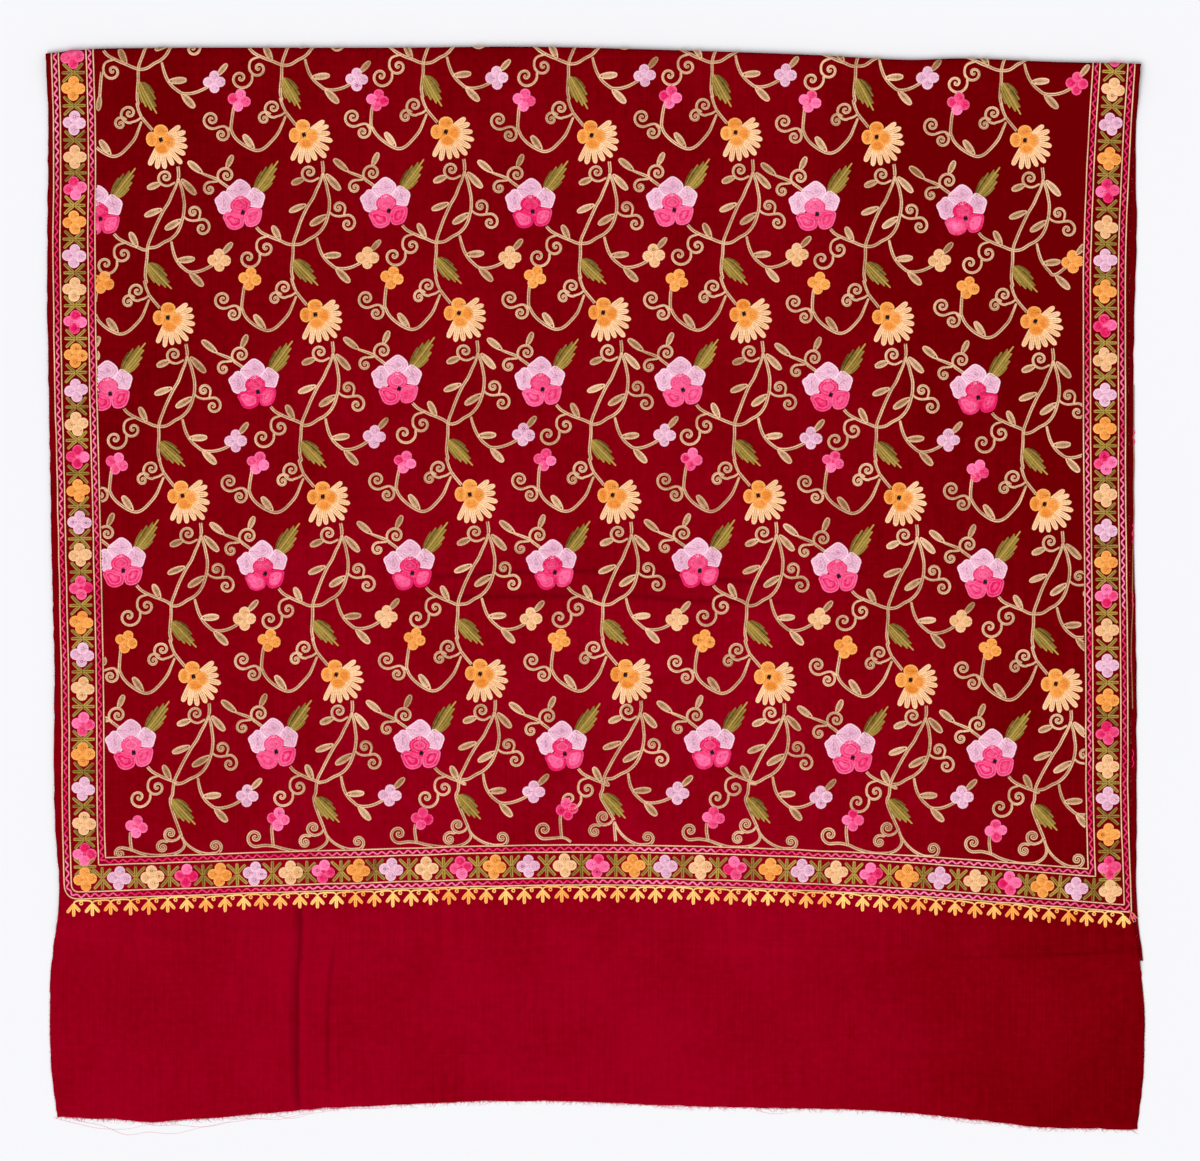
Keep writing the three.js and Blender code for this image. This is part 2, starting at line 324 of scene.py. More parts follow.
@dataclass(frozen=True)
class LaidCloth:
    """Where every point of the folded cloth lies."""

    width: float = 1016.0
    front_length: float = 995.0
    back_length: float = 838.0
    wall: float = 1.2
    layer_gap: float = 0.3
    fold_height: float = 7.0
    nose: float = 5.0
    swell_reach: float = 64.0
    step_clearance: float = 2.0
    step_run: float = 14.0
    back_inset: float = 6.0
    back_inset_run: float = 120.0
    edge_rest: float = 44.0

    left: Edge = Edge((
        (499, -513), (435, -511), (276, -511.9), (176, -510.2), (8, -507), (-62, -505.4),
        (-215, -504.8), (-285, -500.5), (-352, -508), (-400, -509.6), (-447, -508.3), (-494, -502.5),
    ))
    front_right: Edge = Edge((
        (490, 509.4), (419, 503.2), (335, 499), (216, 498), (80, 498), (-62, 499.4), (-198, 499.6),
        (-290, 500.8), (-348, 508.4), (-387, 512.4), (-425, 513), (-460, 511.2), (-506, 505.8),
    ))
    back_right: Edge = Edge((
        (490, 509.4), (419, 504.8), (340, 505.6), (216, 502.6), (80, 502.6), (-62, 505),
        (-198, 505.8), (-300, 506), (-348, 511.4),
    ))
    crest: Edge = Edge((
        (0, 499.2), (55, 503.8), (330, 504.6), (445, 505.5), (565, 502.8), (705, 498.1),
        (800, 493.2), (850, 494.6), (935, 491.4), (1016, 489.6),
    ))
    raw_end: Edge = Edge((
        (0, -493.6), (50, -495.8), (97, -498), (190, -490.6), (285, -483.6), (450, -478.6),
        (600, -484), (775, -488.2), (885, -499), (920, -503), (1016, -505.5),
    ))
    back_end: Edge = Edge(((0, 815), (240, 826), (510, 838), (790, 838), (930, 831), (1016, 838)))
    creases: tuple[Crease, ...] = (
        Crease(Run.LONG, 238, -40, 1040, 9, 1.1),
        Crease(Run.LONG, 266, 790, 1040, 6, 0.7),
        Crease(Run.CROSS, 490, 300, 720, 7, 0.9),
        Crease(Run.CROSS, 513, 330, 700, 7, 0.8),
    )
    pressed: tuple[Crease, ...] = (
        Crease(Run.LONG, 238, 60, 1040, 2.6, 0.7),
        Crease(Run.LONG, 266, 790, 1040, 2.8, 0.5),
        Crease(Run.CROSS, 490, 300, 760, 2.6, 0.45),
        Crease(Run.CROSS, 513, 330, 740, 2.6, 0.55),
    )
    wrinkles: tuple[Wrinkle, ...] = (
        Wrinkle((42, 232), (98, 176), 7, 1.2),
        Wrinkle((70, 236), (112, 205), 6, 0.8),
        Wrinkle((266, 470), (294, 446), 8, 1.1),
        Wrinkle((-276, 279), (-201, 241), 9, 1.1),
        Wrinkle((-21, 421), (-20, 378), 6, 0.9),
        Wrinkle((400, 26), (401, -123), 6, 0.9),
        Wrinkle((99, 308), (101, 280), 5, 0.7),
        Wrinkle((-420, 120), (-330, 96), 10, 0.7),
        Wrinkle((150, 60), (240, 92), 11, 0.7),
        Wrinkle((-60, -80), (30, -96), 10, 0.8),
        Wrinkle((300, 180), (380, 150), 9, 0.7),
        Wrinkle((-480, -330), (-250, -338), 9, 0.6),
        Wrinkle((-120, -342), (120, -336), 9, 0.5),
        Wrinkle((322, -341), (512, -335), 3, 0.9),
        Wrinkle((-140, -440), (-40, -452), 12, 0.8),
        Wrinkle((180, -420), (320, -444), 13, 0.8),
        Wrinkle((-420, -420), (-330, -452), 12, 0.7),
    )
    # Painted shade along pressed crease lines: each line darkens the cloth's colour by its share.
    crease_shade_lines: tuple[CreaseShadeLine, ...] = (
        CreaseShadeLine((
            (-275.5, -285), (-275.7, -328), (-278.3, -366), (-278.6, -404), (-278.4, -441), (-277.6, -492),
        ), 2.3, 0.46, 14),
        CreaseShadeLine(((-277, -130), (-276.4, -200), (-275.6, -300)), 3.0, 0.14, 30),
        CreaseShadeLine((
            (-242, -318), (-247.7, -366), (-249.8, -404), (-249.6, -441), (-249.6, -478),
        ), 2.2, 0.27, 30),
        CreaseShadeLine((
            (326, -345.4), (396.7, -342.8), (452.8, -341.6), (490.1, -338.4), (511.6, -336.5),
        ), 1.8, 0.2, 18),
        CreaseShadeLine((
            (-190, 9), (-90, 14), (-18.9, 16.6), (23.1, 13.6), (69.8, 11), (118.4, 7.7), (210, 2),
        ), 2.8, 0.34, 60),
        CreaseShadeLine(((-190, -9), (19.4, -7), (69, -10.7), (120, -12), (212, -12.8)), 2.8, 0.34, 60),
    )
    swells: tuple[tuple[SoftNoise, float], ...] = (
        (SoftNoise(11, 150, 120), 0.35),
        (SoftNoise(12, 52, 46), 0.22),
        (SoftNoise(13, 21, 24), 0.08),
    )
    edge_calm: float = 0.35
    edge_calm_run: float = 30.0
    edge_thinning: float = 0.35
    edge_thinning_run: float = 5.0

    @property
    def bend_at(self) -> float:
        """Where the straight layers end and the bend begins, from the crest."""
        return self.nose + self.wall / 2

    def y_at(self, across: Array, along: Array) -> Array:
        """y of a place on the cloth."""
        crest = self.crest.read(across)
        return lerp(crest, self.raw_end.read(across), along / self.front_length)

    def front_x(self, across: Array, y: Array) -> Array:
        """x of a place on the upper layer."""
        return lerp(self.left.read(y), self.front_right.read(y), across / self.width)

    def back_x(self, across: Array, along: Array, y: Array) -> Array:
        """x of a place on the under layer, which lies a little to the right."""
        left = self.left.read(y) + self.back_inset * ease(along, 0, self.back_inset_run)
        return lerp(left, self.back_right.read(y), across / self.width)

    def to_cloth(self, x: Array, y: Array) -> tuple[Array, Array]:
        """Cloth coordinates of a plan point of the upper layer.

        Args:
            x: Plan x.
            y: Plan y. Past the crest it goes on as if the cloth lay flat.

        Returns:
            across and along.
        """
        left, right = self.left.read(y), self.front_right.read(y)
        across = (x - left) / (right - left) * self.width
        crest, end = self.crest.read(across), self.raw_end.read(across)
        return across, (crest - y) / (crest - end) * self.front_length

    def underside(self, across: Array, along: Array) -> Array:
        """Height of the upper layer's underside: over the under layer, then down to the floor.

        Args:
            across: From the left selvedge.
            along: From the crest.

        Returns:
            Millimetres above the floor.
        """
        loft = self.fold_height - 2 * self.wall - self.layer_gap
        swell = loft * (1 - ease(along, 0, self.swell_reach))
        step = self.back_end.read(across) + self.step_clearance
        on_back = 1 - ease(along, step, step + self.step_run)
        rest = rise_and_fall(across, 0, self.width, self.edge_rest)
        rest = rest * (1 - ease(along, self.front_length - self.edge_rest, self.front_length))
        lift = sum(crease.lift(across, along) for crease in self.creases)
        return (self.wall + self.layer_gap) * on_back + swell + lift * rest

    def top(self, across: Array, along: Array) -> Array:
        """Height of the upper layer's face, with its wrinkles and its soft unevenness.

        Args:
            across: From the left selvedge.
            along: From the crest.

        Returns:
            Millimetres above the floor.
        """
        y = self.y_at(across, along)
        x = self.front_x(across, y)
        lift = sum(height * (0.6 + 0.5 * noise.read(x, y)) for noise, height in self.swells)
        lift = lift + sum(wrinkle.lift(x, y) for wrinkle in self.wrinkles)
        lift = lift + sum(crease.lift(across, along) for crease in self.pressed)
        near_edge = np.minimum(across, self.width - across)
        near_edge = np.minimum(near_edge, self.front_length - along)
        lift = lift * (self.edge_calm + (1 - self.edge_calm) * ease(near_edge, 0, self.edge_calm_run))
        thin = self.edge_thinning * (1 - ease(near_edge, 0, self.edge_thinning_run))
        return self.underside(across, along) + self.wall + lift - thin

    def crease_shading(self, x: Array, y: Array) -> Array:
        """How much painted shade along the pressed lines darkens the cloth."""
        return sum(line.read(x, y) for line in self.crease_shade_lines)


@dataclass
class ClothFace:
    """The cloth's outer face as a grid, so that sewing sits exactly on the modelled cloth."""

    lay: LaidCloth
    spacing: float = 7.6
    dense_spacing: float = 2.0
    dense_across: tuple[Pair, ...] = ((0, 8), (224, 280), (1004, 1016))
    dense_along: tuple[Pair, ...] = ((474, 529), (808, 858), (984, 995))
    dense_bend_end: float = 22.0
    across: Array = field(init=False)
    along: Array = field(init=False)
    height: Array = field(init=False)

    def __post_init__(self) -> None:
        """Lays out the grid's lines, closer over the creases, and reads their heights."""
        lay = self.lay
        self.across = self._lines(0, lay.width, self.dense_across)
        dense = [(lay.bend_at, self.dense_bend_end), *self.dense_along]
        self.along = self._lines(lay.bend_at, lay.front_length, dense)
        across, along = np.meshgrid(self.across, self.along)
        self.height = lay.top(across, along)

    def _lines(self, start: float, end: float, dense: Sequence[Pair]) -> Array:
        """Places of the grid's lines from start to end, closer inside the dense stretches.

        Args:
            start: The first place.
            end: The last one.
            dense: Stretches with closer lines.

        Returns:
            The places, in order.
        """
        lines = [start]
        while lines[-1] < end:
            close = any(low <= lines[-1] < high for low, high in dense)
            lines.append(lines[-1] + (self.dense_spacing if close else self.spacing))
        return np.array([*lines[:-1], end])

    def read(self, across: Array, along: Array) -> Array:
        """Height of the modelled face between its grid lines.

        Args:
            across: From the left selvedge.
            along: From the crest.

        Returns:
            Millimetres above the floor.
        """
        i = np.clip(np.searchsorted(self.across, across) - 1, 0, len(self.across) - 2)
        j = np.clip(np.searchsorted(self.along, along) - 1, 0, len(self.along) - 2)
        s = (across - self.across[i]) / (self.across[i + 1] - self.across[i])
        t = (along - self.along[j]) / (self.along[j + 1] - self.along[j])
        s, t = np.clip(s, 0, 1), np.clip(t, 0, 1)
        near = lerp(self.height[j, i], self.height[j, i + 1], s)
        far = lerp(self.height[j + 1, i], self.height[j + 1, i + 1], s)
        return lerp(near, far, t)

    def bend_height(self, across: Array) -> Array:
        """Height of the outer face where the bend begins."""
        return self.read(across, np.full_like(across, self.lay.bend_at))

    def arc(self) -> float:
        """Length of the outer face round the bend."""
        half = self.lay.fold_height / 2
        return math.pi * math.sqrt((self.lay.bend_at**2 + half**2) / 2)

    def place(self, across: Array, along: Array, lift: Array) -> Array:
        """Points just off the outer face, all the way round the fold.

        Args:
            across: Cloth coordinate from the left selvedge.
            along: Cloth coordinate from the crest, negative round the bend and on the under layer.
            lift: Distance off the face.

        Returns:
            Points, one a row.
        """
        lay = self.lay
        past = np.maximum(lay.bend_at - along, 0.0)
        turn = np.clip(past / self.arc(), 0.0, 1.0)
        angle = math.pi * (0.5 - turn)
        half = self.bend_height(across) / 2
        on_back = lay.bend_at + past - self.arc()
        bend_along = lay.bend_at - (lay.bend_at + lift) * np.cos(angle)
        bend_z = half + (half + lift) * np.sin(angle)
        where = np.where(past <= 0, along, np.where(turn < 1, bend_along, on_back))
        z = np.where(past <= 0, self.read(across, along) + lift, np.where(turn < 1, bend_z, -lift))
        y = lay.y_at(across, where)
        x = lerp(lay.front_x(across, y), lay.back_x(across, where, y), turn)
        return np.stack([x, y, z], axis=-1)


# ---- Meshes ----


@dataclass
class MeshParts:
    """A mesh before Blender has it: vertices in millimetres, quads, and what each vertex carries."""

    vertices: Array
    quads: Array
    uv: dict[str, Array] = field(default_factory=dict)
    values: dict[str, Array] = field(default_factory=dict)
    slots: Array | None = None

    def make(self, name: str, materials: Sequence[Material]) -> Piece:
        """Makes the Blender object.

        Args:
            name: The piece's name.
            materials: Its materials, in the order of the slots.

        Returns:
            The object, in the scene and in metres.
        """
        mesh = bpy.data.meshes.new(name)
        mesh.vertices.add(len(self.vertices))
        mesh.vertices.foreach_set("co", (self.vertices * MM).astype(np.float32).ravel())
        loops = self.quads.ravel().astype(np.int32)
        mesh.loops.add(len(loops))
        mesh.loops.foreach_set("vertex_index", loops)
        mesh.polygons.add(len(self.quads))
        mesh.polygons.foreach_set("loop_start", np.arange(0, len(loops), 4, dtype=np.int32))
        mesh.polygons.foreach_set("use_smooth", np.ones(len(self.quads), bool))
        if self.slots is not None:
            mesh.polygons.foreach_set("material_index", self.slots.astype(np.int32))
        mesh.update(calc_edges=True)
        for label, uv in self.uv.items():
            layer = mesh.uv_layers.new(name=label)
            layer.data.foreach_set("uv", uv[loops].astype(np.float32).ravel())
        for label, values in self.values.items():
            attribute = mesh.attributes.new(label, "FLOAT", "POINT")
            attribute.data.foreach_set("value", values.astype(np.float32))
        for material in materials:
            mesh.materials.append(material)
        piece = bpy.data.objects.new(name, mesh)
        bpy.context.scene.collection.objects.link(piece)
        return piece


# ---- Finishes ----


class Graph:
    """Short ways of wiring a material's nodes."""

    def __init__(self, name: str) -> None:
        """Starts a material with only its output and its shader.

        Args:
            name: The material's name.
        """
        self.material = bpy.data.materials.new(name)
        self.material.use_nodes = True
        self.tree = self.material.node_tree
        self.shader = self.tree.nodes["Principled BSDF"]

    def add(self, kind: str, **settings: object) -> bpy.types.Node:
        """Adds a node and sets its properties.

        Args:
            kind: Blender's name of it.
            settings: Its properties.

        Returns:
            The node.
        """
        node = self.tree.nodes.new(kind)
        for key, value in settings.items():
            setattr(node, key, value)
        return node

    def join(self, start: Socket, end: Socket) -> None:
        """Links two sockets."""
        self.tree.links.new(start, end)

    def feed(self, end: Socket, value: object) -> None:
        """Gives an input a socket's result or a plain value.

        Args:
            end: The input.
            value: A socket or a plain value.
        """
        if isinstance(value, Socket):
            self.join(value, end)
        else:
            end.default_value = value

    def gloss(self, roughness: float, level: float) -> None:
        """Sets how rough and how glossy the surface is."""
        self.shader.inputs["Roughness"].default_value = roughness
        self.shader.inputs["Specular IOR Level"].default_value = level

    def maths(self, operation: str, a: object, b: object = None, c: object = None) -> Socket:
        """Works out a number from sockets or plain numbers.

        Args:
            operation: Blender's name of the operation.
            a: First input, a socket or a number.
            b: Second input, if it has one.
            c: Third input, if it has one.

        Returns:
            The result's socket.
        """
        node = self.add("ShaderNodeMath", operation=operation)
        for index, value in enumerate((a, b, c)):
            if value is not None:
                self.feed(node.inputs[index], value)
        return node.outputs[0]

    def mix(self, factor: object, a: object, b: object, blend: str = "MIX") -> Socket:
        """Mixes two colours, each a socket or a plain colour, and gives the result's socket.

        Args:
            factor: Share of b.
            a: First colour.
            b: Second colour.
            blend: Blender's name of the blend.

        Returns:
            The result's socket.
        """
        node = self.add("ShaderNodeMix", data_type="RGBA", blend_type=blend)
        for index, value in ((0, factor), (6, a), (7, b)):
            self.feed(node.inputs[index], value)
        return node.outputs[2]

    def grey(self, value: Socket) -> Socket:
        """Turns a number into a grey colour.

        Args:
            value: The number.

        Returns:
            The colour's socket.
        """
        node = self.add("ShaderNodeCombineColor")
        for index in range(3):
            self.join(value, node.inputs[index])
        return node.outputs[0]

    def dye(self, colour: Socket, shade: Socket) -> None:
        """Gives the surface a colour, darkened by a shade."""
        self.join(self.mix(1.0, colour, self.grey(shade), "MULTIPLY"), self.shader.inputs["Base Color"])

    def noise(self, vector: Socket, scale: float, detail: float = 2.0) -> Socket:
        """Noise from 0 to 1 at a scale in cells a metre.

        Args:
            vector: The place.
            scale: Cells a metre.
            detail: How much finer noise it has.

        Returns:
            The number's socket.
        """
        node = self.add("ShaderNodeTexNoise")
        node.inputs["Scale"].default_value = scale
        node.inputs["Detail"].default_value = detail
        self.join(vector, node.inputs["Vector"])
        return node.outputs["Fac"]

    def scaled(self, vector: Socket, scale: Rgb) -> Socket:
        """Stretches a coordinate.

        Args:
            vector: The coordinate.
            scale: Stretch along each axis.

        Returns:
            The new coordinate's socket.
        """
        node = self.add("ShaderNodeMapping")
        node.inputs["Scale"].default_value = scale
        self.join(vector, node.inputs["Vector"])
        return node.outputs[0]

    def smooth(self, value: Socket, low: float, high: float) -> Socket:
        """Eases from 0 to 1 as a value goes from low to high.

        Args:
            value: The value.
            low: Where it gives 0.
            high: Where it gives 1.

        Returns:
            The number's socket.
        """
        node = self.add("ShaderNodeMapRange", interpolation_type="SMOOTHSTEP")
        self.join(value, node.inputs["Value"])
        node.inputs["From Min"].default_value = min(low, high)
        node.inputs["From Max"].default_value = max(low, high)
        node.inputs["To Min"].default_value = 0.0 if low < high else 1.0
        node.inputs["To Max"].default_value = 1.0 if low < high else 0.0
        return node.outputs["Result"]

    def bump(self, height: Socket, strength: float, distance: float) -> None:
        """Raises the surface by a height.

        Args:
            height: The height.
            strength: Share of it that shows.
            distance: Metres for a height of 1.
        """
        node = self.add("ShaderNodeBump")
        node.inputs["Strength"].default_value = strength
        node.inputs["Distance"].default_value = distance
        self.join(height, node.inputs["Height"])
        self.join(node.outputs["Normal"], self.shader.inputs["Normal"])


@dataclass(frozen=True)
class WoolFinish:
    """Fine plain-woven wool with a short nap, dyed crimson and a little uneven in its dye, with painted
    sheen and shade over it and painted shade along its pressed lines.
    """

    name: str
    deep: Rgb = (98, 0, 3)
    middle: Rgb = (121, 0, 12)
    bright: Rgb = (142, 0, 26)
    yarns_a_metre: float = 760.0
    roughness: float = 0.95
    gloss: float = 0.0
    # The tone with no painted shade, and how much painted sheen and shade take off it to the right, at the
    # left inside the field, towards the fold and over the field.
    unshaded_tone: float = 0.86
    right_painted_shade: float = 0.56
    left_painted_shade: float = 0.26
    fold_painted_shade: float = 0.45
    inside_painted_shade: float = 0.13
    right_band: Pair = (0.12, 0.5)
    left_band: Pair = (-0.2, -0.5)
    fold_band: Pair = (-0.3, 0.5)
    inside_band: Pair = (-0.32, -0.24)
    # Cells a metre of the large patches of painted sheen.
    sheen_patch_cells: float = 9.0
    mottle_cells: float = 160.0
    nap_cells: float = 900.0
    slub_cells: Rgb = (520.0, 14.0, 60.0)
    relief_height: float = 0.0003

    def painted_shading(self, g: Graph, parts: bpy.types.Node) -> Socket:
        """Painted sheen and shade over the whole cloth: darker to the right, at the left inside the field,
        towards the fold and over the field than at the raw end.

        Args:
            g: The material's nodes.
            parts: The place, as x, y and z.

        Returns:
            The number's socket.
        """
        x, y = parts.outputs["X"], parts.outputs["Y"]
        tone = g.maths("MULTIPLY_ADD", g.smooth(x, *self.right_band), -self.right_painted_shade, self.unshaded_tone)
        inside = g.smooth(y, *self.inside_band)
        left = g.maths("MULTIPLY", g.smooth(x, *self.left_band), inside)
        tone = g.maths("MULTIPLY_ADD", left, -self.left_painted_shade, tone)
        tone = g.maths("MULTIPLY_ADD", g.smooth(y, *self.fold_band), -self.fold_painted_shade, tone)
        return g.maths("MULTIPLY_ADD", inside, -self.inside_painted_shade, tone)

    def make(self) -> Material:
        """Makes the material: mottled dye, large patches of painted sheen, painted sheen and shade over the
        whole cloth, painted shade along the pressed lines, slub lines both ways, the weave and its nap.

        Returns:
            The material.
        """
        g = Graph(self.name)
        where = g.add("ShaderNodeTexCoord").outputs["Object"]
        parts = g.add("ShaderNodeSeparateXYZ")
        g.join(where, parts.inputs[0])
        # Large noise patches of painted sheen.
        sheen_patches = g.noise(where, self.sheen_patch_cells, 3.0)
        mottle = g.noise(where, self.mottle_cells, 3.0)
        fine, long, through = self.slub_cells
        warp = g.noise(g.scaled(where, (fine, long, through)), 1.0)
        weft = g.noise(g.scaled(where, (long, fine, through)), 1.0)
        lines = g.maths("MULTIPLY_ADD", weft, 0.6, warp)
        # The gradient of painted sheen and shade over the cloth sets the tone.
        tone = g.maths("MULTIPLY_ADD", sheen_patches, 0.75, g.maths("SUBTRACT", self.painted_shading(g, parts), 0.375))
        tone = g.maths("ADD", tone, g.maths("MULTIPLY_ADD", mottle, 0.6, -0.3))
        tone = g.maths("ADD", tone, g.maths("MULTIPLY_ADD", lines, 0.5, -0.4))
        ramp = g.add("ShaderNodeValToRGB")
        ramp.color_ramp.elements[0].color = linear(self.deep)
        ramp.color_ramp.elements[1].color = linear(self.bright)
        ramp.color_ramp.elements.new(0.5).color = linear(self.middle)
        g.join(tone, ramp.inputs["Fac"])
        turn = math.pi * self.yarns_a_metre
        over = g.maths("SINE", g.maths("MULTIPLY", parts.outputs["X"], turn))
        under = g.maths("SINE", g.maths("MULTIPLY", parts.outputs["Y"], turn))
        weave = g.maths("MULTIPLY_ADD", g.maths("MULTIPLY", over, under), 0.5, 0.5)
        shade = g.maths("MULTIPLY_ADD", weave, 0.16, 0.88)
        # Painted shade along the pressed crease lines darkens the colour.
        crease_shade = g.add("ShaderNodeAttribute", attribute_name="crease_shade").outputs["Fac"]
        shade = g.maths("MULTIPLY", shade, g.maths("SUBTRACT", 1.0, crease_shade))
        g.dye(ramp.outputs["Color"], shade)
        nap = g.noise(where, self.nap_cells)
        relief = g.maths("ADD", g.maths("MULTIPLY", weave, 0.6), g.maths("MULTIPLY", nap, 0.6))
        relief = g.maths("ADD", relief, g.maths("MULTIPLY", lines, 0.35))
        g.bump(relief, 0.45, self.relief_height)
        g.gloss(self.roughness, self.gloss)
        return g.material


@dataclass(frozen=True)
class YarnFinish:
    """Two-ply wool or art-silk yarn worked in chain stitch."""

    name: str
    dark: Rgb
    light: Rgb
    gloss: float = 0.1
    roughness: float = 0.62
    patchy: float = 0.3
    # How strongly painted shade darkens each row towards its edges.
    groove_shade_strength: float = 2.3
    twist: float = 19.0
    relief_height: float = 0.00018

    def make(self) -> Material:
        """Makes the material: uneven dye, painted shade towards each row's edges where rows meet, with a
        slightly lighter crest, painted shade at the joints between links, and the yarn's twist.

        Returns:
            The material.
        """
        g = Graph(self.name)
        where = g.add("ShaderNodeTexCoord").outputs["Object"]
        tone = g.add("ShaderNodeAttribute", attribute_name="tone").outputs["Fac"]
        uneven = g.maths("MULTIPLY_ADD", g.noise(where, 260.0), 0.6, -0.3)
        patches = g.noise(where, 34.0, 1.0)
        uneven = g.maths("MULTIPLY_ADD", patches, self.patchy, g.maths("SUBTRACT", uneven, self.patchy / 2))
        clamp = g.add("ShaderNodeClamp")
        g.join(g.maths("ADD", tone, uneven), clamp.inputs[0])
        colour = g.mix(clamp.outputs[0], linear(self.dark), linear(self.light))
        stitch = g.add("ShaderNodeSeparateXYZ")
        g.join(g.add("ShaderNodeUVMap", uv_map="stitch").outputs[0], stitch.inputs[0])
        off = g.maths("ABSOLUTE", g.maths("SUBTRACT", stitch.outputs["Y"], 0.5))
        # Painted shade towards the row's edges and a slightly lighter crest.
        groove_shade = g.maths("MULTIPLY_ADD", g.maths("POWER", off, 2.0), -self.groove_shade_strength, 1.08)
        # Painted shade at the joints between links.
        link = g.maths("PINGPONG", stitch.outputs["X"], 0.5)
        joint = g.maths("MULTIPLY_ADD", g.maths("SMOOTH_MIN", link, 0.25, 0.2), 0.5, 0.9)
        shade = g.maths("MULTIPLY", groove_shade, joint)
        g.dye(colour, shade)
        slant = g.maths("MULTIPLY", off, 9.0)
        twist = g.maths("SINE", g.maths("MULTIPLY_ADD", stitch.outputs["X"], self.twist, slant))
        relief = g.maths("ADD", g.maths("MULTIPLY", twist, 0.25), g.noise(where, 1600.0))
        g.bump(relief, 0.5, self.relief_height)
        g.gloss(self.roughness, self.gloss)
        return g.material


class Yarn(Enum):
    """The embroidery yarns, each with its finish."""

    TAN = YarnFinish("tan_yarn", (140, 96, 58), (236, 196, 158), patchy=0.9)
    LILAC = YarnFinish("lilac_yarn", (200, 140, 168), (243, 201, 219))
    PINK = YarnFinish("pink_yarn", (219, 16, 90), (254, 132, 182), patchy=0.5)
    CREAM = YarnFinish("cream_yarn", (213, 154, 93), (248, 204, 162))
    ORANGE = YarnFinish("orange_yarn", (215, 121, 30), (252, 182, 100), patchy=0.45)
    OLIVE = YarnFinish("olive_yarn", (80, 55, 4), (178, 149, 70), patchy=0.5)
    GOLD = YarnFinish("gold_yarn", (234, 136, 42), (255, 208, 124), patchy=0.6)
    BLACK = YarnFinish("black_yarn", (10, 6, 14), (36, 24, 38))


# ---- Chain stitch ----


@dataclass(frozen=True)
class Stitching:
    """How a row of chain stitch is worked."""

    width: float = 1.55
    height: float = 0.62
    link: float = 2.98
    lift: float = 0.0


@dataclass(frozen=True)
class Row:
    """One row of chain stitch, in plan."""

    path: Array
    yarn: Yarn
    tone: float
    work: Stitching


Dyes = Sequence[tuple[Yarn, float]]


def dye_of(dyes: Dyes, number: int) -> tuple[Yarn, float]:
    """Yarn and tone of a ring, counted from the outside. The last one holds for all that follow."""
    return dyes[min(number, len(dyes) - 1)]


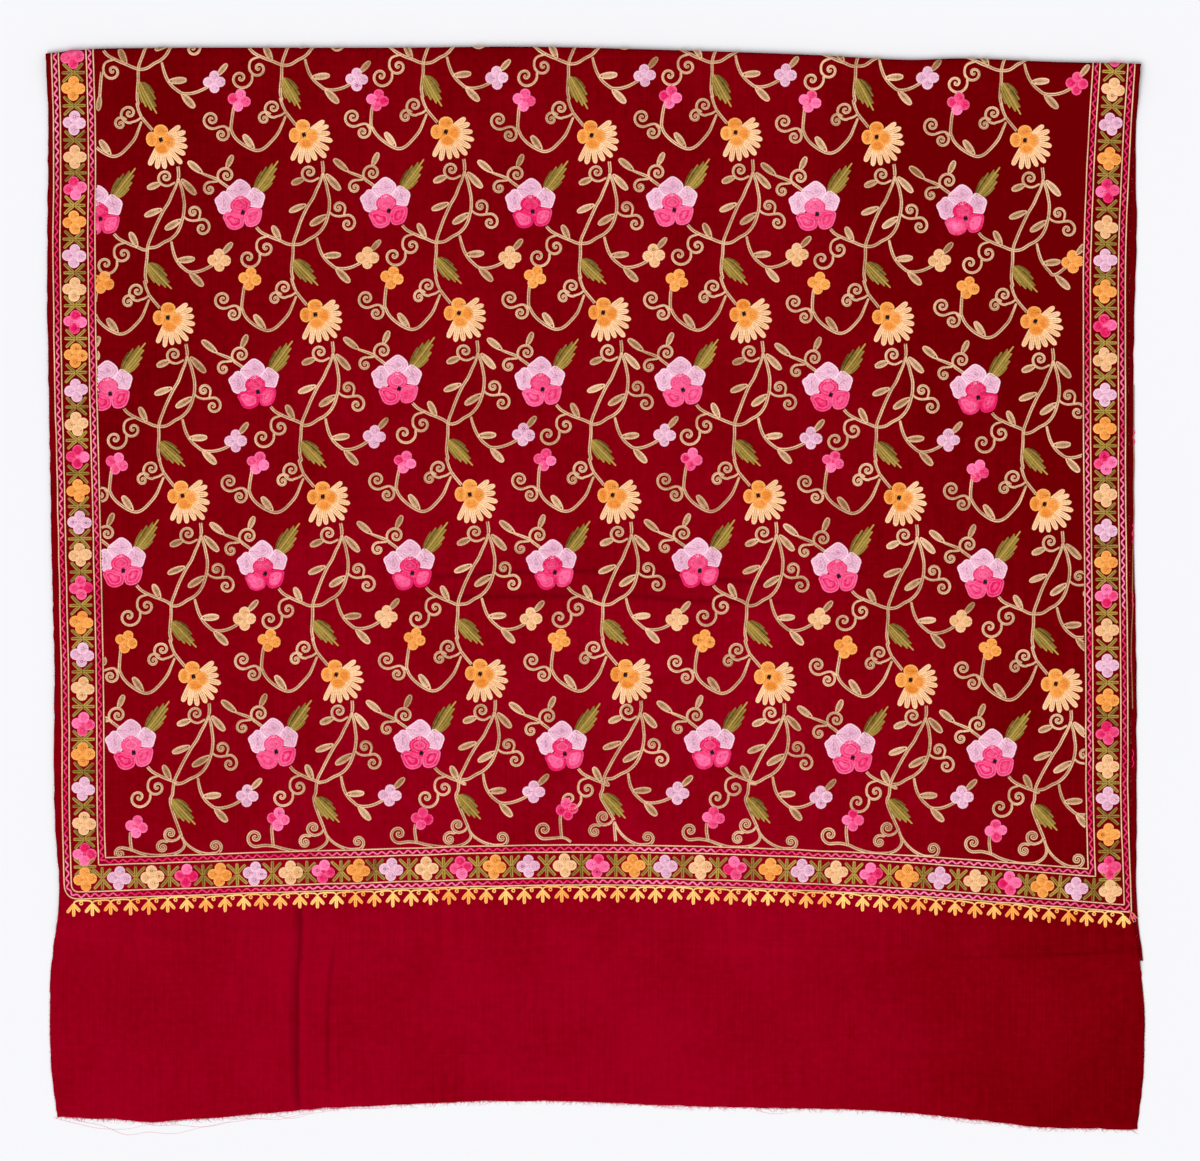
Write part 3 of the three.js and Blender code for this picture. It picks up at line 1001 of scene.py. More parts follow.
@dataclass
class Needle:
    """Works rows of chain stitch and turns them into one piece."""

    face: ClothFace
    seed: int = 1
    pitch: float = 1.3
    sink: float = 0.06
    wobble: float = 0.5
    settle: Pair = (0.45, -0.45)
    keep: Callable[[Array], Array] | None = None
    rows: list[Row] = field(default_factory=list)

    def __post_init__(self) -> None:
        """Starts the seeded hand unevenness."""
        self.hand = np.random.default_rng(self.seed)

    def run(
        self, path: Points | Array, yarn: Yarn, tone: float = 0.5, work: Stitching = Stitching(),
        closed: bool = False, curved: bool = True,
    ) -> None:
        """Works one row.

        Args:
            path: Points that it passes through.
            yarn: Its yarn.
            tone: 0 for the yarn's dark end to 1 for its light end.
            work: How it is worked.
            closed: Whether it comes back to its start.
            curved: Whether it is smooth between its points.
        """
        points = np.asarray(path, float)
        if curved:
            points = smooth_curve(points, closed)
        elif closed:
            points = np.vstack([points, points[:1]])
        length = lengths(points)
        if length[-1] < 0.8:
            return
        links = max(1, round(length[-1] / work.link))
        at = np.linspace(0.0, length[-1], 2 * links + 1)
        self.rows.append(Row(between(at, length, points), yarn, tone + self.hand.normal(0, 0.05), work))

    def double(
        self, path: Points | Array, yarn: Yarn, tone: float = 0.6, half: float = 0.82, work: Stitching =
        Stitching(width=1.42), taper: Pair = (1.0, 1.0),
    ) -> None:
        """Works two rows side by side along a path.

        Args:
            path: Points of the middle line.
            yarn: Its yarn.
            tone: Dark to light.
            half: Half the distance between the two rows.
            work: How each is worked.
            taper: Share of that distance left at the start and at the end.
        """
        curve = smooth_curve(np.asarray(path, float))
        places = np.linspace(0, 1, len(curve))
        share = np.interp(places, [0, 0.15, 0.85, 1], [taper[0], 1, 1, taper[1]])
        side = sideways(curve) * (half * share)[:, None]
        self.run(curve + side, yarn, tone + 0.08, work, curved=False)
        self.run(curve - side, yarn, tone - 0.08, work, curved=False)

    def rings(
        self, outline: Array, dyes: Dyes, work: Stitching = Stitching(),
    ) -> None:
        """Fills a shape with rows that follow its outline inwards.

        Args:
            outline: Its closed outline.
            dyes: Yarn and tone of each ring from the outside.
            work: How each ring is worked.
        """
        curve = smooth_curve(outline, closed=True, steps=5)[:-1]
        centre = curve.mean(axis=0)
        arms = curve - centre
        radius = np.linalg.norm(arms, axis=1)
        inset = self.pitch / 2
        number = 0
        while radius.max() - inset > 0.75:
            left = np.maximum(radius - inset, 0.3) / radius
            yarn, tone = dye_of(dyes, number)
            self.run(centre + arms * left[:, None], yarn, tone, work, closed=True, curved=False)
            inset += self.pitch
            number += 1
        hole = max(radius.mean() - (inset - self.pitch) - work.width / 2, 0.45)
        yarn, tone = dye_of(dyes, number)
        core = Stitching(2 * hole + 0.8, work.height, lift=work.lift + 0.12)
        reach = np.array([max(hole, 0.6), 0.0])
        self.run([centre - reach, centre + reach], yarn, tone, core)

    def leaf(
        self, base: Array, tip: Array, half: float, dyes: Dyes, work: Stitching = Stitching(),
    ) -> None:
        """Fills a pointed leaf with rows that follow its edge inwards.

        Args:
            base: Its foot.
            tip: Its tip.
            half: Half its greatest width.
            dyes: Yarn and tone of each ring from the outside.
            work: How each ring is worked.
        """
        t = np.linspace(0, 1, 19)
        shape = t**0.72 * (1.0 - t) ** 0.55
        shape = half * shape / shape.max()
        run = tip - base
        normal = crossways(run) / max(np.linalg.norm(run), 1e-9)
        middle = base + t[:, None] * run
        inset = self.pitch / 2
        number = 0
        while half - inset > 0.25:
            inside = shape > inset + 0.05
            gap = (shape[inside] - inset)[:, None] * normal
            loop = np.vstack([middle[inside] + gap, (middle[inside] - gap)[::-1]])
            yarn, tone = dye_of(dyes, number)
            self.run(loop, yarn, tone, work, closed=True, curved=False)
            inset += self.pitch
            number += 1
        yarn, tone = dyes[-1]
        core = Stitching(1.5, work.height, lift=work.lift + 0.05)
        self.run([base + run * t for t in (0.2, 0.5, 0.8)], yarn, tone - 0.1, core)

    def disc(
        self, centre: Array, radii: Pair, turn: float, dyes: Dyes, work: Stitching = Stitching(),
    ) -> None:
        """Fills a round or oval lobe with rings.

        Args:
            centre: Its middle.
            radii: Its two half sizes.
            turn: How far it is turned, in degrees.
            dyes: Yarn and tone of each ring from the outside.
            work: How each ring is worked.
        """
        around = np.radians(np.arange(0, 360, 24))
        ring = np.stack([radii[0] * np.cos(around), radii[1] * np.sin(around)], axis=1)
        self.rings(centre + ring @ rotation(turn).T, dyes, work)

    def build(self, name: str) -> Piece:
        """Makes the worked rows one piece, each row a low ridge pinched between its links.

        Args:
            name: The piece's name.

        Returns:
            The piece.
        """
        counts = np.array([len(row.path) for row in self.rows])
        points = np.vstack([row.path for row in self.rows])
        side = np.vstack([sideways(row.path) for row in self.rows])
        order = np.concatenate([np.arange(count) for count in counts])
        to_end = np.minimum(order, np.repeat(counts, counts) - 1 - order)
        number = np.repeat(np.arange(len(self.rows)), counts)
        sizes = np.array([[row.work.width, row.work.height, row.work.lift] for row in self.rows])
        width, height, lift = sizes[number].T
        tone = np.array([row.tone for row in self.rows])[number]
        joint = order % 2 == 0
        end = to_end == 0
        half = width / 2 * np.where(joint, 0.95, 1.03) * np.where(end, 0.7, 1.0)
        crest = height * np.where(joint, 0.88, 1.0) * np.where(end, 0.5, 1.0)
        if self.wobble:
            fields = (SoftNoise(self.seed + 50, 23, 23), SoftNoise(self.seed + 51, 23, 23))
            shift = np.stack([f.read(points[:, 0], points[:, 1]) for f in fields], axis=1)
            points = points + self.wobble * shift
        points = points + np.array(self.settle)
        kept = np.ones(len(points), bool) if self.keep is None else self.keep(points)
        across_points = [points + side * half[:, None], points, points - side * half[:, None]]
        lifts = [lift * 0.85 - self.sink, lift + crest, lift * 0.85 - self.sink]
        cloth = [self.face.lay.to_cloth(p[:, 0], p[:, 1]) for p in across_points]
        kept &= cloth[1][1] > self.face.lay.bend_at - 0.8 * self.face.arc()
        solid = [self.face.place(c[0], c[1], off) for c, off in zip(cloth, lifts, strict=True)]
        vertices = np.stack(solid, axis=1).reshape(-1, 3)
        first = np.nonzero((number[:-1] == number[1:]) & kept[:-1] & kept[1:])[0]
        a, b = first * 3, (first + 1) * 3
        quads = np.stack([
            beside(a, a + 1, b + 1, b),
            beside(a + 1, a + 2, b + 2, b + 1),
        ], axis=1).reshape(-1, 4)
        yarns = list(dict.fromkeys(row.yarn for row in self.rows))
        slots = np.array([yarns.index(row.yarn) for row in self.rows])[number]
        spread = np.tile([0.0, 0.5, 1.0], len(points))
        links = np.repeat(order / 2.0, 3)
        flat = np.stack([np.stack(c, axis=1) for c in cloth], axis=1).reshape(-1, 2)
        bake = np.stack([flat[:, 0] / self.face.lay.width, (flat[:, 1] + BAKE_START) / BAKE_LENGTH], axis=1)
        used, renamed = np.unique(quads, return_inverse=True)
        parts = MeshParts(
            vertices[used],
            renamed.reshape(-1, 4),
            {"OFBake": bake[used], "stitch": beside(links, spread)[used]},
            {"tone": np.repeat(tone, 3)[used]},
            np.repeat(slots[first], 2),
        )
        return parts.make(name, [yarn_material(yarn) for yarn in yarns])


def rotation(degrees: float) -> Array:
    """A turn in plan."""
    c, s = math.cos(math.radians(degrees)), math.sin(math.radians(degrees))
    return np.array([[c, -s], [s, c]])


def yarn_material(yarn: Yarn) -> Material:
    """The yarn's material, made once."""
    return bpy.data.materials.get(yarn.value.name) or yarn.value.make()


def scroll(
    approach: Array, centre: Array, start: float, sweep: float, radii: Pair
) -> Array:
    """Path of a tendril that winds into a spiral.

    Args:
        approach: Points that lead to the spiral.
        centre: Middle of the spiral.
        start: Direction from the centre to its first point, in degrees.
        sweep: How far it winds, negative for clockwise.
        radii: Its first and last radius.

    Returns:
        Points of the whole path.
    """
    way = math.copysign(1.0, sweep)
    extra = 150.0 + 48.0 * radii[1]
    turned = np.arange(0.0, abs(sweep) + extra, 24.0)
    radius = np.interp(turned, [0.0, abs(sweep), abs(sweep) + extra], [radii[0], max(radii[1], 1.6), 0.7])
    angle = np.radians(start + way * turned)
    spiral = centre + radius[:, None] * beside(np.cos(angle), np.sin(angle))
    return np.vstack([np.reshape(approach, (-1, 2)), spiral])


# ---- The field ----


class Anchor(Enum):
    """What a point of the repeat is measured from."""

    DAISY = "the repeat's own daisy"
    BELOW = "the next daisy down"
    PANSY = "the repeat's pansy"


O, N, P = Anchor.DAISY, Anchor.BELOW, Anchor.PANSY
Stem = tuple[tuple[Anchor, Points], ...]


@dataclass(frozen=True)
class Tendril:
    """A spiral tendril of the repeat."""

    anchor: Anchor
    approach: Points
    centre: Pair
    start: float
    sweep: float
    radii: Pair
    in_corner: bool = True


@dataclass(frozen=True)
class TanLeaf:
    """A small tan leaf of the repeat."""

    anchor: Anchor
    base: Pair
    tip: Pair
    half: float
    tone: float
    on_bud: bool = False


@dataclass(frozen=True)
class Repeat:
    """One repeat of the trailing vine, in millimetres from its anchors."""

    drop: Pair = (16.5, -170.0)
    main_stem: Stem = (
        (O, ((17.5, -25), (18.5, -32), (18.5, -36))),
    )
    left_stem: Stem = (
        (O, (
            (18.5, -36), (16.5, -44.5), (13.5, -52), (10.5, -60), (6.5, -67), (3.5, -73.5), (0, -82),
            (-3, -90.5), (-6.5, -101.5), (-6.5, -113), (-7, -122.5), (-7, -130), (-5.5, -136),
        )),
        (N, ((-22, 34), (-20, 27), (-17.5, 21.5))),
    )
    short_stem: Stem = ((N, ((-17.5, 21.5), (-14.5, 17.5), (-7.5, 9))),)
    right_stem: Stem = (
        (O, (
            (18.5, -36), (19, -38.5), (22, -46), (24, -53.5), (25.5, -61), (25.5, -70), (24.5, -76),
            (22.5, -83.5), (19, -90), (14, -95), (8.5, -98), (1.5, -102.5), (-5, -103.5),
        )),
        (P, ((41, -29), (34, -26), (27.5, -23.5), (17.5, -18.5), (12.5, -13.5))),
    )
    bud_stem: Stem = (
        (O, (
            (15, -97), (17, -104.5), (20, -112), (24.5, -118.5), (29.5, -123), (34, -126),
            (40.5, -126.5), (47.5, -125), (54, -122), (60, -118),
        )),
    )
    low_stem: Stem = (
        (N, (
            (-17.5, 17.5), (-20.5, 10), (-24.5, 1), (-30.5, -6.5), (-37.5, -13), (-44.5, -15),
            (-52.5, -12), (-60.5, -6.5), (-65.5, -1), (-68, 4), (-69, 7), (-68.5, 15.5), (-67, 25.5),
            (-64, 30),
        )),
    )
    twig: Stem = (
        (P, ((-38.5, 37), (-24.5, 31.5), (-20, 28), (-14, 23.5), (-8.5, 18.5))),
    )
    tendrils: tuple[Tendril, ...] = (
        Tendril(O, ((15.5, -40.5),), (6.5, -35.5), -67, -354, (8.5, 2.8)),
        Tendril(O, ((25.5, -72.5), (29, -75.5), (34, -77), (39.5, -76.5)), (43.5, -84), 83, -400,
                (7.9, 1.4)),
        Tendril(O, ((39.5, -76.5),), (34.5, -69), -18, 350, (6.3, 1.7)),
        Tendril(P, ((24, -21.5), (16, -24), (13, -28), (13, -34), (15.5, -37.5)), (21, -32.5), 222, 310,
                (7.5, 1.9)),
        Tendril(P, ((13, -34), (15.5, -37.5)), (5, -42), 17, -400, (10.8, 2.2), in_corner=False),
        Tendril(N, ((-17.5, 21.5), (-21.5, 18.5), (-27.5, 16.5)), (-29, 25), -81, -345, (9.1, 2.8)),
        Tendril(N, ((-32, 19),), (-37, 15), 39, 350, (6.8, 1.9)),
        Tendril(N, ((-68, 4), (-73, 7.5), (-77, 8), (-83, 6)), (-86.5, 14), -69, -347, (8.8, 3.3),
                in_corner=False),
        Tendril(N, ((-73, 6.5),), (-77, 0.5), 57, -370, (7.1, 2.1), in_corner=False),
        Tendril(P, ((-20.5, 28),), (-15.5, 35), -126, -390, (8.9, 2.8)),
        Tendril(P, ((-23.5, 29.5), (-30, 29)), (-31.5, 22.5), 76, 330, (6.7, 2.1)),
    )
    leaves: tuple[TanLeaf, ...] = (
        TanLeaf(O, (3.0, -41), (-10.5, -46.5), 3.3, 0.45),
        TanLeaf(O, (20.5, -36.5), (36, -52.5), 3.5, 0.5),
        TanLeaf(O, (5.5, -66), (-12, -73), 3.2, 0.5),
        TanLeaf(O, (24.5, -75), (8, -86), 3.4, 0.45),
        TanLeaf(O, (20.5, -115), (39, -113.5), 3.3, 0.55),
        TanLeaf(O, (33.5, -126), (47.5, -140), 3.6, 0.5),
        TanLeaf(O, (65, -110), (75, -98), 2.9, 0.25, on_bud=True),
        TanLeaf(P, (34.5, -26.5), (27, -11.5), 3.3, 0.4),
        TanLeaf(N, (-46, -14.5), (-57, 0.5), 3.4, 0.5),
        TanLeaf(P, (-37, 36.5), (-52, 48.5), 3.4, 0.5),
        TanLeaf(P, (-15.5, 41), (-9.5, 54.5), 3.0, 0.35),
    )
    bud: Pair = (63.0, -115.5)
    low_flower: Pair = (-62.0, 32.5)
    under_leaf: tuple[Pair, Pair] = ((-4.5, -119.5), (14.5, -138.5))
    fold_under_leaf: tuple[Pair, Pair] = ((-4.0, -117.0), (9.5, -140.5))
    over_leaf: tuple[Pair, Pair] = ((12.5, 20.5), (29.5, 43.5))
    leaf_reach: Edge = Edge((
        (-9.4, 0.6), (-7.0, 0.75), (-5.0, 0.86), (-2.6, 0.99), (0, 1.12), (1.9, 1.02), (4.4, 0.84),
        (7.0, 0.68), (9.2, 0.5),
    ))


@dataclass(frozen=True)
class DaisyShape:
    """The half daisy, from its eye: tips of its petals, and place and half sizes of each lobe."""

    tips: tuple[float, ...] = (22.9, 24.4, 24.5, 26.6, 27.0, 29.0, 26.4, 26.5, 27.0, 25.8)
    first_turn: float = 37.0
    turn_step: float = 16.9
    petal_half: tuple[float, ...] = (1.2, 1.6, 1.75, 1.8, 1.75, 1.3, 0.5)
    lobes: tuple[tuple[Pair, Pair], ...] = (
        ((-0.4, 8.4), (6.8, 6.0)), ((-8.6, 0.0), (5.3, 6.8)), ((7.8, -0.8), (5.5, 6.3)),
        ((1.5, -7.8), (6.5, 5.2)),
    )
    eye_lift: float = 1.75


@dataclass(frozen=True)
class PansyShape:
    """The pansy, from its eye: outlines of its petals in the order of working, and their shades."""

    upper: tuple[Points, ...] = (
        ((-13, 18.5), (-18.3, 20.8), (-22, 17.5), (-26.4, 13.4), (-24.5, 7.5), (-22.3, 1.6),
         (-17.5, -0.5), (-11.5, 1.5), (-8.5, 9)),
        ((6.5, 19), (9.5, 22.8), (13, 22.6), (20.3, 16.3), (19.6, 10), (16.8, 3.8), (11, 4.5),
         (4, 6.5), (3, 13)),
        ((-15.2, 21.5), (-9.5, 27), (-3, 31.5), (2.5, 29.6), (7.4, 24.2), (6.8, 18.5), (0, 13),
         (-8, 12.5), (-14, 17.5)),
    )
    lower: tuple[Points, ...] = (
        ((-18.8, -1.5), (-13, 1.6), (-6, -0.5), (0, -3), (1.2, -8.5), (-0.8, -13), (-7.5, -15.6),
         (-13.8, -13.5), (-17, -7.5)),
        ((1.5, -2), (5, 3.2), (11, 4.4), (17.2, 3), (17.3, -3.5), (14.5, -10.5), (8.5, -13.4),
         (3.2, -12.4), (1.3, -7.5)),
        ((-2, 16), (-6.5, 14), (-11.3, 9), (-10.2, 3), (-4, -0.5), (2, 0), (6.4, 3.5), (7.3, 9),
         (3, 13.6)),
    )
    lilac_steps: tuple[float, ...] = (0.42, -0.02, 0.14, -0.16, 0.08, -0.2)
    light_rim: tuple[float, ...] = (0.42, 0.2, 0.4, 0.08, 0.14, 0.4)
    light_middle: tuple[float, ...] = (0.14, 0.38, 0.2, 0.44, 0.35)
    dark_rim: tuple[float, ...] = (0.04, 0.12, 0.44, 0.5, 0.4, 0.56)
    dark_middle: tuple[float, ...] = (-0.02, 0.06, 0.12, 0.24, 0.2)
    dark_share: float = 0.4
    eye_lift: float = 1.75


@dataclass(frozen=True)
class Quatrefoil:
    """A small flower of four round lobes, each crossing over the last."""

    radius: float
    reach: float
    heart: float
    lifts: tuple[float, float, float]
    pinks: tuple[float, float, float]
    size_spread: Pair
    reach_spread: Pair | None = None

    def work(self, needle: Needle, hand: np.random.Generator, centre: Array, turn: float,
             yarn: Yarn) -> None:
        """Works the flower.

        Args:
            needle: The needle that works it.
            hand: Seeded unevenness.
            centre: Its middle.
            turn: How far it is turned, in degrees.
            yarn: Its yarn.
        """
        shades = hand.choice(self.pinks, 4) if yarn is Yarn.PINK else np.full(4, 0.5)
        for quarter in range(4):
            reach = self.reach * hand.uniform(*self.reach_spread) if self.reach_spread else self.reach
            lobe = centre + rotation(turn + 90 * quarter) @ np.array([reach, 0.0])
            tone = float(shades[quarter]) + hand.uniform(-0.1, 0.1)
            size = self.radius * hand.uniform(*self.size_spread)
            dyes = [(yarn, tone + step) for step in (0.15, -0.02, -0.1)]
            oval = (size, size * hand.uniform(0.95, 1.05))
            needle.disc(lobe, oval, 0, dyes, Stitching(lift=self.lifts[quarter % 2]))
        heart = [(yarn, float(shades[0]) - 0.1)]
        needle.disc(centre, (self.heart, self.heart), 0, heart, Stitching(lift=self.lifts[2]))


@dataclass(frozen=True)
class Sprig:
    """One worked repeat: where its three flowers are."""

    repeat: Repeat
    daisy: Array
    below: Array
    pansy: Array

    def at(self, anchor: Anchor, points: Points | Pair) -> Array:
        """Plan points of places that are given from one of the flowers.

        Args:
            anchor: That flower.
            points: The places.

        Returns:
            Plan points.
        """
        given = np.asarray(points, float)
        if anchor is Anchor.BELOW:
            return self.below + given
        if anchor is Anchor.PANSY:
            return self.pansy + given
        lean = self.below - self.daisy - np.array(self.repeat.drop)
        share = np.clip(-given[..., 1:2] / 170.0, 0.0, 1.0)
        return self.daisy + given + share * lean

    def path(self, stretches: Stem) -> Array:
        """Plan points of a stem."""
        return np.vstack([self.at(anchor, points) for anchor, points in stretches])


@dataclass(frozen=True)
class Rail:
    """Middle lines of a rail: down the left side, along the foot and up the right side."""

    left: Edge
    foot: Edge
    right: Edge
    reach: float

    def _corner(self, side: Edge, x: float) -> Pair:
        """Where a side meets the foot, found from a first guess of x.

        Args:
            side: The side's line.
            x: The guess.

        Returns:
            Its x and y.
        """
        for _ in range(3):
            y = self.foot.at(x)
            x = side.at(y)
        return x, y

    @cached_property
    def corners(self) -> tuple[Pair, Pair]:
        """Lower left and lower right corner."""
        return self._corner(self.left, -self.reach), self._corner(self.right, self.reach)


@dataclass(frozen=True)
class FieldFrame:
    """The rails round the field, marked in from the cloth's sides and bowed with its lay."""

    lay: LaidCloth
    width: float = 32.5
    left_margins: Pair = (8.0, 11.0)
    right_margins: Pair = (7.0, 5.0)
    fold: float = 520.0
    foot: float = -310.0
    foot_margin: float = 237.0
    line_offset: float = 3.1
    foot_narrowing: float = 1.5
    inner_reach: float = 460.0
    outer_reach: float = 490.0

    def _side(self, edge: Edge, margins: Pair, way: float, further: float) -> Edge:
        """A rail at an even distance from a side of the cloth.

        Args:
            edge: That side.
            margins: The distance at the fold and at the foot.
            way: 1 for the left side and -1 for the right one.
            further: How much further in it is.

        Returns:
            The rail's middle line.
        """
        places = np.linspace(self.foot, self.fold, 9)
        margin = lerp(margins[1], margins[0], np.linspace(0, 1, 9)) + further
        return Edge(tuple(zip(places.tolist(), (edge.read(places) + way * margin).tolist(), strict=True)))

    def _rail(self, foot: Edge, further: float, reach: float) -> Rail:
        """A rail with a given foot and sides some way further in than the outer one's."""
        left = self._side(self.lay.left, self.left_margins, 1, further)
        return Rail(left, foot, self._side(self.lay.front_right, self.right_margins, -1, further), reach)

    @cached_property
    def inner(self) -> Rail:
        """The inner rail. Its foot keeps an even distance from the raw end, without its unevenness.

        Returns:
            The rail.
        """
        share = np.linspace(0, 1, 5)
        x = lerp(self.lay.left.at(self.foot), self.lay.front_right.at(self.foot), share)
        y = self.lay.raw_end.read(share * self.lay.width) + self.foot_margin
        foot = Edge(tuple(zip(x.tolist(), y.tolist(), strict=True)))
        return self._rail(foot, self.width, self.inner_reach)

    @cached_property
    def outer(self) -> Rail:
        """The outer rail.

        Returns:
            The rail.
        """
        drop = self.width - self.foot_narrowing
        foot = Edge(tuple((x, y - drop) for x, y in self.inner.foot.rows))
        return self._rail(foot, 0.0, self.outer_reach)

    def bow(self, x: float) -> float:
        """How far the foot rail is above or below its middle."""
        return self.inner.foot.at(x) - self.inner.foot.rows[2][1]

    def inside(self, points: Array) -> Array:
        """Which plan points are in the field, within its inner rail.

        Args:
            points: The points, one a row.

        Returns:
            True for each that is.
        """
        x, y = points[:, 0], points[:, 1]
        margin = self.line_offset + 1.0
        return (
            (x > self.inner.left.read(y) + margin)
            & (x < self.inner.right.read(y) - margin)
            & (y > self.inner.foot.read(x) + margin)
        )


@dataclass
class VineField:
    """The trailing vines that fill the field, with their flowers and leaves."""

    face: ClothFace
    rails: FieldFrame
    repeat: Repeat = Repeat()
    columns: int = 7
    rows: int = 5
    first: Pair = (-408.0, 425.0)
    pitch: Pair = (134.4, 168.2)
    lean: float = 10.2
    bow_share: float = 0.42
    pansy_shift: Pair = (-55.0, -72.0)
    foot_lean: Pair = (-13.0, 6.0)
    foot_shift: float = 20.0
    foot_rise: float = 24.0
    foot_flower: Pair = (-43.0, 10.0)
    unevenness: float = 2.0
    rail_room: float = 14.0
    vine_tone: float = 0.58
    daisy_shape: DaisyShape = DaisyShape()
    pansy_shape: PansyShape = PansyShape()
    small_flower: Quatrefoil = Quatrefoil(
        5.0, 5.7, 2.1, (0.2, 0.38, 0.42), (0.2, 0.35, 0.75), (0.95, 1.06)
    )
    foot_radius: float = 4.9
    corner_stem: Points = ((-461, 482), (-462.3, 470), (-463, 460))
    corner_leaf: tuple[Pair, Pair] = ((-462.8, 462.0), (-464.2, 445.5))

    def __post_init__(self) -> None:
        """Threads one needle for each kind of piece."""
        needles = (Needle(self.face, seed=21, keep=self.rails.inside) for _ in range(6))
        self.vines, self.leaves, self.greens, self.pansies, self.daisies, self.sprays = needles
        self.hand = np.random.default_rng(77)
        size = (5, self.rows + 1, self.columns, 2)
        self.strays = np.random.default_rng(79).uniform(-self.unevenness, self.unevenness, size)

    def vine(self, path: Points | Array, taper: Pair = (1.0, 1.0), half: float = 0.82,
             work: Stitching = Stitching(width=1.42)) -> None:
        """Works a stem as two tan rows."""
        self.vines.double(path, Yarn.TAN, self.vine_tone, half, work, taper)

    def mark(self, row: int, column: int) -> Array:
        """Where a repeat's daisy is worked: an even grid that bows with the lay, a little uneven.

        Args:
            row: Its row.
            column: Its column.

        Returns:
            Its plan point.
        """
        x = self.first[0] + self.pitch[0] * column + self.lean * (row - 1)
        y = self.first[1] + self.bow_share * self.rails.bow(x) - self.pitch[1] * (row - 1)
        return np.array([x, y]) + self.strays[0, row, column]

    def bud_centre(self, sprig: Sprig, row: int, column: int) -> Array:
        """Middle of a repeat's bud, drawn in where the rail would cut it.

        Args:
            sprig: The repeat.
            row: Its row.
            column: Its column.

        Returns:
            Its plan point.
        """
        centre = sprig.at(O, self.repeat.bud) + self.strays[2, row, column]
        limit = self.rails.inner.right.at(centre[1]) - self.rail_room
        if limit < centre[0] < limit + self.rail_room + 4:
            centre[0] = limit
        return centre

    def sprigs(self) -> list[tuple[int, int, Sprig]]:
        """Every repeat, with its row and column. Row 0 is past the fold and shows its lower part.

        Returns:
            Row, column and repeat.
        """
        found = []
        for row in range(self.rows):
            for column in range(self.columns):
                daisy = self.mark(row, column)
                below = self.mark(row + 1, column)
                if row == self.rows - 1:
                    below = below + self.foot_lean
                pansy = daisy + self.pansy_shift + self.strays[1, row, column]
                found.append((row, column, Sprig(self.repeat, daisy, below, pansy)))
        return found

    def stems(self, sprig: Sprig, row: int, column: int) -> None:
        """Works a repeat's stems, tendrils and tan leaves.

        Args:
            sprig: The repeat.
            row: Its row. The stems of the last one end in a foot.
            column: Its column.
        """
        last, shape = row == self.rows - 1, self.repeat
        bud_move = self.bud_centre(sprig, row, column) - sprig.at(O, shape.bud)
        self.vine(sprig.path(shape.main_stem), half=0.9)
        if not last:
            self.vine(sprig.path(shape.left_stem), (0.6, 0.8))
            self.vine(sprig.path(shape.short_stem))
            low_stem = sprig.path(shape.low_stem)
            share = ease(np.arange(len(low_stem)), 8, 13)[:, None]
            self.vine(low_stem + share * self.strays[3, row, column], (0.5, 1.0))
        bud_stem = sprig.path(shape.bud_stem)
        self.vine(bud_stem + ease(np.arange(len(bud_stem)), 3, 9)[:, None] * bud_move, (0.6, 1.0))
        for stem in (shape.right_stem, shape.twig):
            self.vine(sprig.path(stem), (0.6, 1.0))
        for tendril in shape.tendrils:
            hidden = last and tendril.anchor is N
            if hidden or not (row + column or tendril.in_corner):
                continue
            approach = sprig.at(tendril.anchor, tendril.approach)
            centre = sprig.at(tendril.anchor, tendril.centre)
            path = scroll(approach, centre, tendril.start, tendril.sweep, tendril.radii)
            self.vine(path, (0.6, 0.6), 0.62, Stitching(width=1.35))
        for leaf in shape.leaves:
            if last and leaf.anchor is N:
                continue
            moved = bud_move if leaf.on_bud else np.zeros(2)
            light = leaf.tone + self.hand.uniform(-0.15, 0.15)
            dyes = [(Yarn.TAN, light + step) for step in (0.22, -0.12, -0.3)]
            base, tip = (sprig.at(leaf.anchor, end) + moved for end in (leaf.base, leaf.tip))
            self.leaves.leaf(base, tip, leaf.half - 0.05, dyes)

    def foot(self, column: int) -> None:
        """Works the vine's foot: two arcs along the rail, a flower on a short stem and scrolls.

        Args:
            column: The vine's column.
        """
        rail = self.rails.inner.foot
        above = self.mark(self.rows - 1, column)
        x = above[0] - self.lean * (self.rows - 2) + self.foot_shift
        foot = np.array([x, rail.at(x) + self.foot_rise])
        foot[1] += 2 * self.strays[4, 0, column, 0]
        flower = foot + self.foot_flower + self.strays[4, 1, column]
        room = foot[1] - (rail.at(x) + 4.2)

        def low(dx: float, share: float) -> Pair:
            """A point beside the foot, some share of the way down to the rail."""
            bend = rail.at(x + dx) - rail.at(x) if share > 0.3 else 0.0
            return x + dx, foot[1] - share * room + bend

